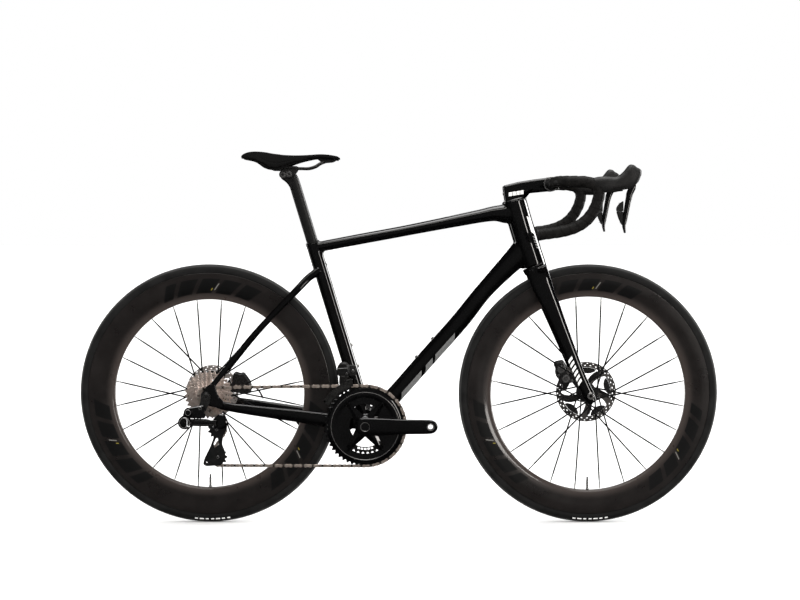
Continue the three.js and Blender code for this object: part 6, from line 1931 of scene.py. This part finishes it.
b = Build()
b.grid(saddle_rows(2.2, 1.2, 0.85, 4.0))
pad = b.make("saddle_pad", SADDLE)
modified(pad, "REMESH", mode="VOXEL", voxel_size=0.0045, adaptivity=0.0)
applied(pad)
sm = modified(pad, "SMOOTH", factor=0.5, iterations=4)
applied(pad)
rest_co = np.zeros(len(pad.data.vertices) * 3)
pad.data.vertices.foreach_get("co", rest_co)
rest_co = rest_co.reshape(-1, 3)
group = pad.vertex_groups.new(name="held")
nrm = np.zeros(len(pad.data.vertices) * 3)
pad.data.vertices.foreach_get("normal", nrm)
nrm = nrm.reshape(-1, 3)
held = [i for i in range(len(rest_co)) if nrm[i, 2] < -0.25]
group.add(held, 1.0, "REPLACE")
cl = pad.modifiers.new("cloth", "CLOTH")
st = cl.settings
st.quality = 6
st.mass = 0.3
st.tension_stiffness = 25
st.compression_stiffness = 25
st.shear_stiffness = 15
st.bending_stiffness = 4
st.use_pressure = True
st.uniform_pressure_force = 4.0
st.vertex_group_mass = "held"
st.effector_weights.gravity = 0.0
scene_ = bpy.context.scene
scene_.frame_start, scene_.frame_end = 1, 20
cl.point_cache.frame_start, cl.point_cache.frame_end = 1, 20
for f in range(1, 21):
    scene_.frame_set(f)
applied(pad)
scene_.frame_set(1)
new = np.zeros(len(pad.data.vertices) * 3)
pad.data.vertices.foreach_get("co", new)
new = new.reshape(-1, 3)
d = new - rest_co
L = np.linalg.norm(d, axis=1)
cap = 0.0032
d *= np.where(L > cap, cap / np.maximum(L, 1e-9), 1)[:, None]
pad.data.vertices.foreach_set("co", (rest_co + d).reshape(-1))
pad.data.update()
modified(pad, "SUBSURF", levels=1, render_levels=1)
applied(pad)
# seam channel where the top panel meets the side panels
co = np.zeros(len(pad.data.vertices) * 3)
pad.data.vertices.foreach_get("co", co)
co = co.reshape(-1, 3)
nn = np.zeros(len(pad.data.vertices) * 3)
pad.data.vertices.foreach_get("normal", nn)
nn = nn.reshape(-1, 3)
xs = SS[:, 0] * MM
ww = np.interp(co[:, 0], xs, SS[:, 1] * MM)
rel = np.abs(co[:, 1]) / np.maximum(ww, 1e-4)
top = nn[:, 2] > 0.15
seam = np.exp(-((rel - 0.80) / 0.018) ** 2) * (ww > 0.012) * top
co -= nn * (seam * 0.0011)[:, None]
pad.data.vertices.foreach_set("co", co.reshape(-1))
pad.data.polygons.foreach_set("use_smooth", [True] * len(pad.data.polygons))
pad.data.materials.clear()
pad.data.materials.append(SADDLE)
pad.data.update()
finish_piece(pad, "saddle_body", "saddle")

# moulded base under the pad
rows = []
m = 24
for x, w, zc, ze, t in SS:
    w2 = max(w - 3.2, 1.6)
    row = []
    for k in range(m + 1):
        u = -1 + 2 * k / m
        row.append((x, u * w2, zc + (ze - zc) * abs(u) ** 2.3 - t * (0.80 - 0.42 * abs(u) ** 2.3) - 0.6))
    for k in range(m + 1):
        u = 1 - 2 * k / m
        row.append((x, u * (w2 - 0.8), zc + (ze - zc) * abs(u) ** 2.3 - t * (1.0 - 0.5 * abs(u) ** 2.3) - 0.6))
    rows.append(row)
b = Build()
b.grid(np.array(rows)[2:-2])
b.make("saddle_base", SADDLE, "saddle_body", "carbon_matte")

# ------------------------------------------------------------------ plain printed marks
def patch(b, stations, power, x0, x1, a0, a1, grow=0.16, rows=24, cols=12, slant=0.0, m=400, axis=0):
    """A thin printed area on a tube: between two places along it and two angles round it."""
    S = loft_points(stations, m=m, power=power, grow=grow, angles=np.radians(np.linspace(a0, a1, cols)))
    C = through([list(s) + [0.0] * (5 - len(s)) for s in stations], m)[:, axis]
    P = np.zeros((rows, cols, 3))
    for c in range(cols):
        shift = slant * (c / (cols - 1) - 0.5)
        for r in range(rows):
            want = x0 + (x1 - x0) * r / (rows - 1) + shift
            if C[-1] > C[0]:
                f = np.interp(want, C, np.arange(m))
            else:
                f = np.interp(-want, -C, np.arange(m))
            i = int(min(f, m - 2))
            P[r, c] = S[i, c] + (S[i + 1, c] - S[i, c]) * (f - i)
    b.grid(P, caps=False, closed=False)


# silver blocks under the down tube, on both sides of its lower edge
b = Build()
for x0, x1 in ((-6, 46), (57, 75), (82, 133)):
    patch(b, DOWN_TUBE, 2.6, x0, x1, 196, 254, slant=14, cols=24, grow=0.3)
    patch(b, DOWN_TUBE, 2.6, x0, x1, 164, 106, slant=14, cols=24, grow=0.3)
o = b.make("down_tube_print", SILVER, "frame", "frame_gloss")
# head tube strips
b = Build()
for a0, a1 in ((236, 220), (124, 140)):
    patch(b, HEAD_TUBE, 2.2, 756, 798, a0, a1, axis=1, slant=-8)
b.make("head_tube_print", WHITE, "frame", "frame_gloss")
b = Build()
for k in range(5):
    z0 = 716 + k * 7
    for a0, a1 in ((236, 222), (124, 138)):
        patch(b, HEAD_TUBE, 2.2, z0, z0 + 4.2, a0, a1, axis=1, slant=-4, rows=4)
b.make("head_tube_hatch", SILVER, "frame", "frame_gloss")
# four slanted bars low on each fork blade
b = Build()
for st, sg in ((BLADE_R, -1), (BLADE_L, 1)):
    for k in range(6):
        z1 = 440 - k * 11.5
        a0, a1 = (206, 268) if sg < 0 else (154, 92)
        patch(b, st, 2.15, z1, z1 - 6.6, a0, a1, axis=1, slant=9, rows=6, grow=0.2)
b.make("fork_print", WHITE, "steering", "frame_gloss")
# a plain tag of four blocks on each flank of the stem
b = Build()
for y0, y1 in ((-18.3, -17.9), (17.9, 18.3)):
    for k in range(4):
        x, z = 286.5 + k * 10.0, 858.5 + k * 1.6
        b.prism([(x, z), (x + 8.4, z + 1.3), (x + 8.4, z + 11.3), (x, z + 10.0)], [], y0, y1, 0.08)
b.make("stem_print", WHITE, "steering", "frame_gloss")
# the printed areas get a thickness, so every one is a closed body
for name in ("down_tube_print", "fork_print", "head_tube_print", "head_tube_hatch", "front_tyre_dashes", "rear_tyre_dashes"):
    o = bpy.data.objects[name]
    modified(o, "SOLIDIFY", thickness=0.2 * MM, offset=-1.0)
    applied(o)

# ------------------------------------------------------------------ stage and light
me = bpy.data.meshes.new("floor")
me.from_pydata([(-40, -40, 0), (40, -40, 0), (40, 40, 0), (-40, 40, 0)], [], [(0, 1, 2, 3)])
floor = bpy.data.objects.new("floor", me)
bpy.context.scene.collection.objects.link(floor)
fm, nt, bs = start_mat("floor_pale")
n = N(nt)
n.link(n.mix(n.range(n.noise(n.coords("Object"), 0.8, 2), 0.3, 0.7, 0, 1), (0.86, 0.86, 0.86), (0.88, 0.88, 0.88)), bs.inputs["Base Color"])
bs.inputs["Roughness"].default_value = 0.9
bs.inputs["Specular IOR Level"].default_value = 0.1
me.materials.append(fm)

world = bpy.data.worlds.new("studio")
bpy.context.scene.world = world
world.use_nodes = True
nt = world.node_tree
nt.nodes.clear()
out = nt.nodes.new("ShaderNodeOutputWorld")
tc = nt.nodes.new("ShaderNodeTexCoord")
sep = nt.nodes.new("ShaderNodeSeparateXYZ")
nt.links.new(tc.outputs["Generated"], sep.inputs[0])


def w_range(sock, a, b, c, d):
    m = nt.nodes.new("ShaderNodeMapRange")
    m.interpolation_type = "SMOOTHSTEP"
    nt.links.new(sock, m.inputs["Value"])
    for k, v in (("From Min", a), ("From Max", b), ("To Min", c), ("To Max", d)):
        m.inputs[k].default_value = v
    return m.outputs[0]


def w_math(op, a, b):
    m = nt.nodes.new("ShaderNodeMath")
    m.operation = op
    for i, v in enumerate((a, b)):
        if isinstance(v, (int, float)):
            m.inputs[i].default_value = v
        else:
            nt.links.new(v, m.inputs[i])
    return m.outputs[0]


# a big soft light overhead, a tall narrow one in front of the bicycle, a dim one behind it, and a faint fill
# from the open side of the room
wx, wy, wz = sep.outputs
overhead = w_math("MULTIPLY", w_range(wz, 0.86, 0.94, 0.0, 1.0), 5.0)
ahead = w_math("MULTIPLY", w_math("MULTIPLY", w_range(wx, 0.80, 0.86, 0.0, 1.0), w_math("MULTIPLY", w_range(wy, 0.08, 0.16, 0.0, 1.0), w_range(wy, 0.44, 0.54, 1.0, 0.0))), 21.0)
behind = w_math("MULTIPLY", w_math("MULTIPLY", w_range(wx, -0.90, -0.84, 1.0, 0.0), w_range(wy, 0.20, 0.28, 0.0, 1.0)), 7.0)
fill = w_math("MULTIPLY", w_range(wy, -1.0, -0.55, 1.0, 0.0), 0.08)
glow = w_math("ADD", w_math("MAXIMUM", overhead, w_math("MAXIMUM", ahead, behind)), w_math("ADD", fill, 0.012))
glow = w_math("MULTIPLY", glow, w_range(wz, -0.45, -0.05, 0.0, 1.0))
room = nt.nodes.new("ShaderNodeBackground")
room.inputs["Color"].default_value = (1, 0.99, 0.975, 1)
nt.links.new(glow, room.inputs["Strength"])
even = nt.nodes.new("ShaderNodeBackground")
even.inputs["Color"].default_value = (1, 1, 1, 1)
even.inputs["Strength"].default_value = 1.16
plain = nt.nodes.new("ShaderNodeBackground")
plain.inputs["Color"].default_value = (1, 1, 1, 1)
plain.inputs["Strength"].default_value = 1.0
lp = nt.nodes.new("ShaderNodeLightPath")
mx = nt.nodes.new("ShaderNodeMixShader")
nt.links.new(lp.outputs["Is Diffuse Ray"], mx.inputs[0])
nt.links.new(room.outputs[0], mx.inputs[1])
nt.links.new(even.outputs[0], mx.inputs[2])
mx2 = nt.nodes.new("ShaderNodeMixShader")
nt.links.new(lp.outputs["Is Camera Ray"], mx2.inputs[0])
nt.links.new(mx.outputs[0], mx2.inputs[1])
nt.links.new(plain.outputs[0], mx2.inputs[2])
nt.links.new(mx2.outputs[0], out.inputs[0])
floor.visible_glossy = False


def area(name, loc, aim, size, power, color=(1, 1, 1)):
    l = bpy.data.lights.new(name, "AREA")
    l.shape = "RECTANGLE"
    l.size, l.size_y = size
    l.energy = power
    l.color = color
    o = bpy.data.objects.new(name, l)
    bpy.context.scene.collection.objects.link(o)
    o.location = loc
    o.rotation_euler = (Vector(aim) - Vector(loc)).to_track_quat("-Z", "Y").to_euler()
    return o


area("overhead", (0, 0.0, 3.2), (0, 0, 0.4), (4.0, 2.4), 30)
area("back_high", (1.0, 3.2, 2.6), (0, 0, 0.5), (2.4, 0.6), 8)
area("front_high", (0.0, -2.6, 3.3), (0, 0, 0.45), (3.2, 0.35), 26, (1.0, 0.97, 0.93))
area("front_side", (2.3, -3.7, 1.0), (0, 0, 0.45), (0.35, 2.0), 34, (1.0, 0.955, 0.91))

vs = bpy.context.scene.view_settings
vs.view_transform = "Standard"
vs.look = "None"
vs.exposure = 0.0
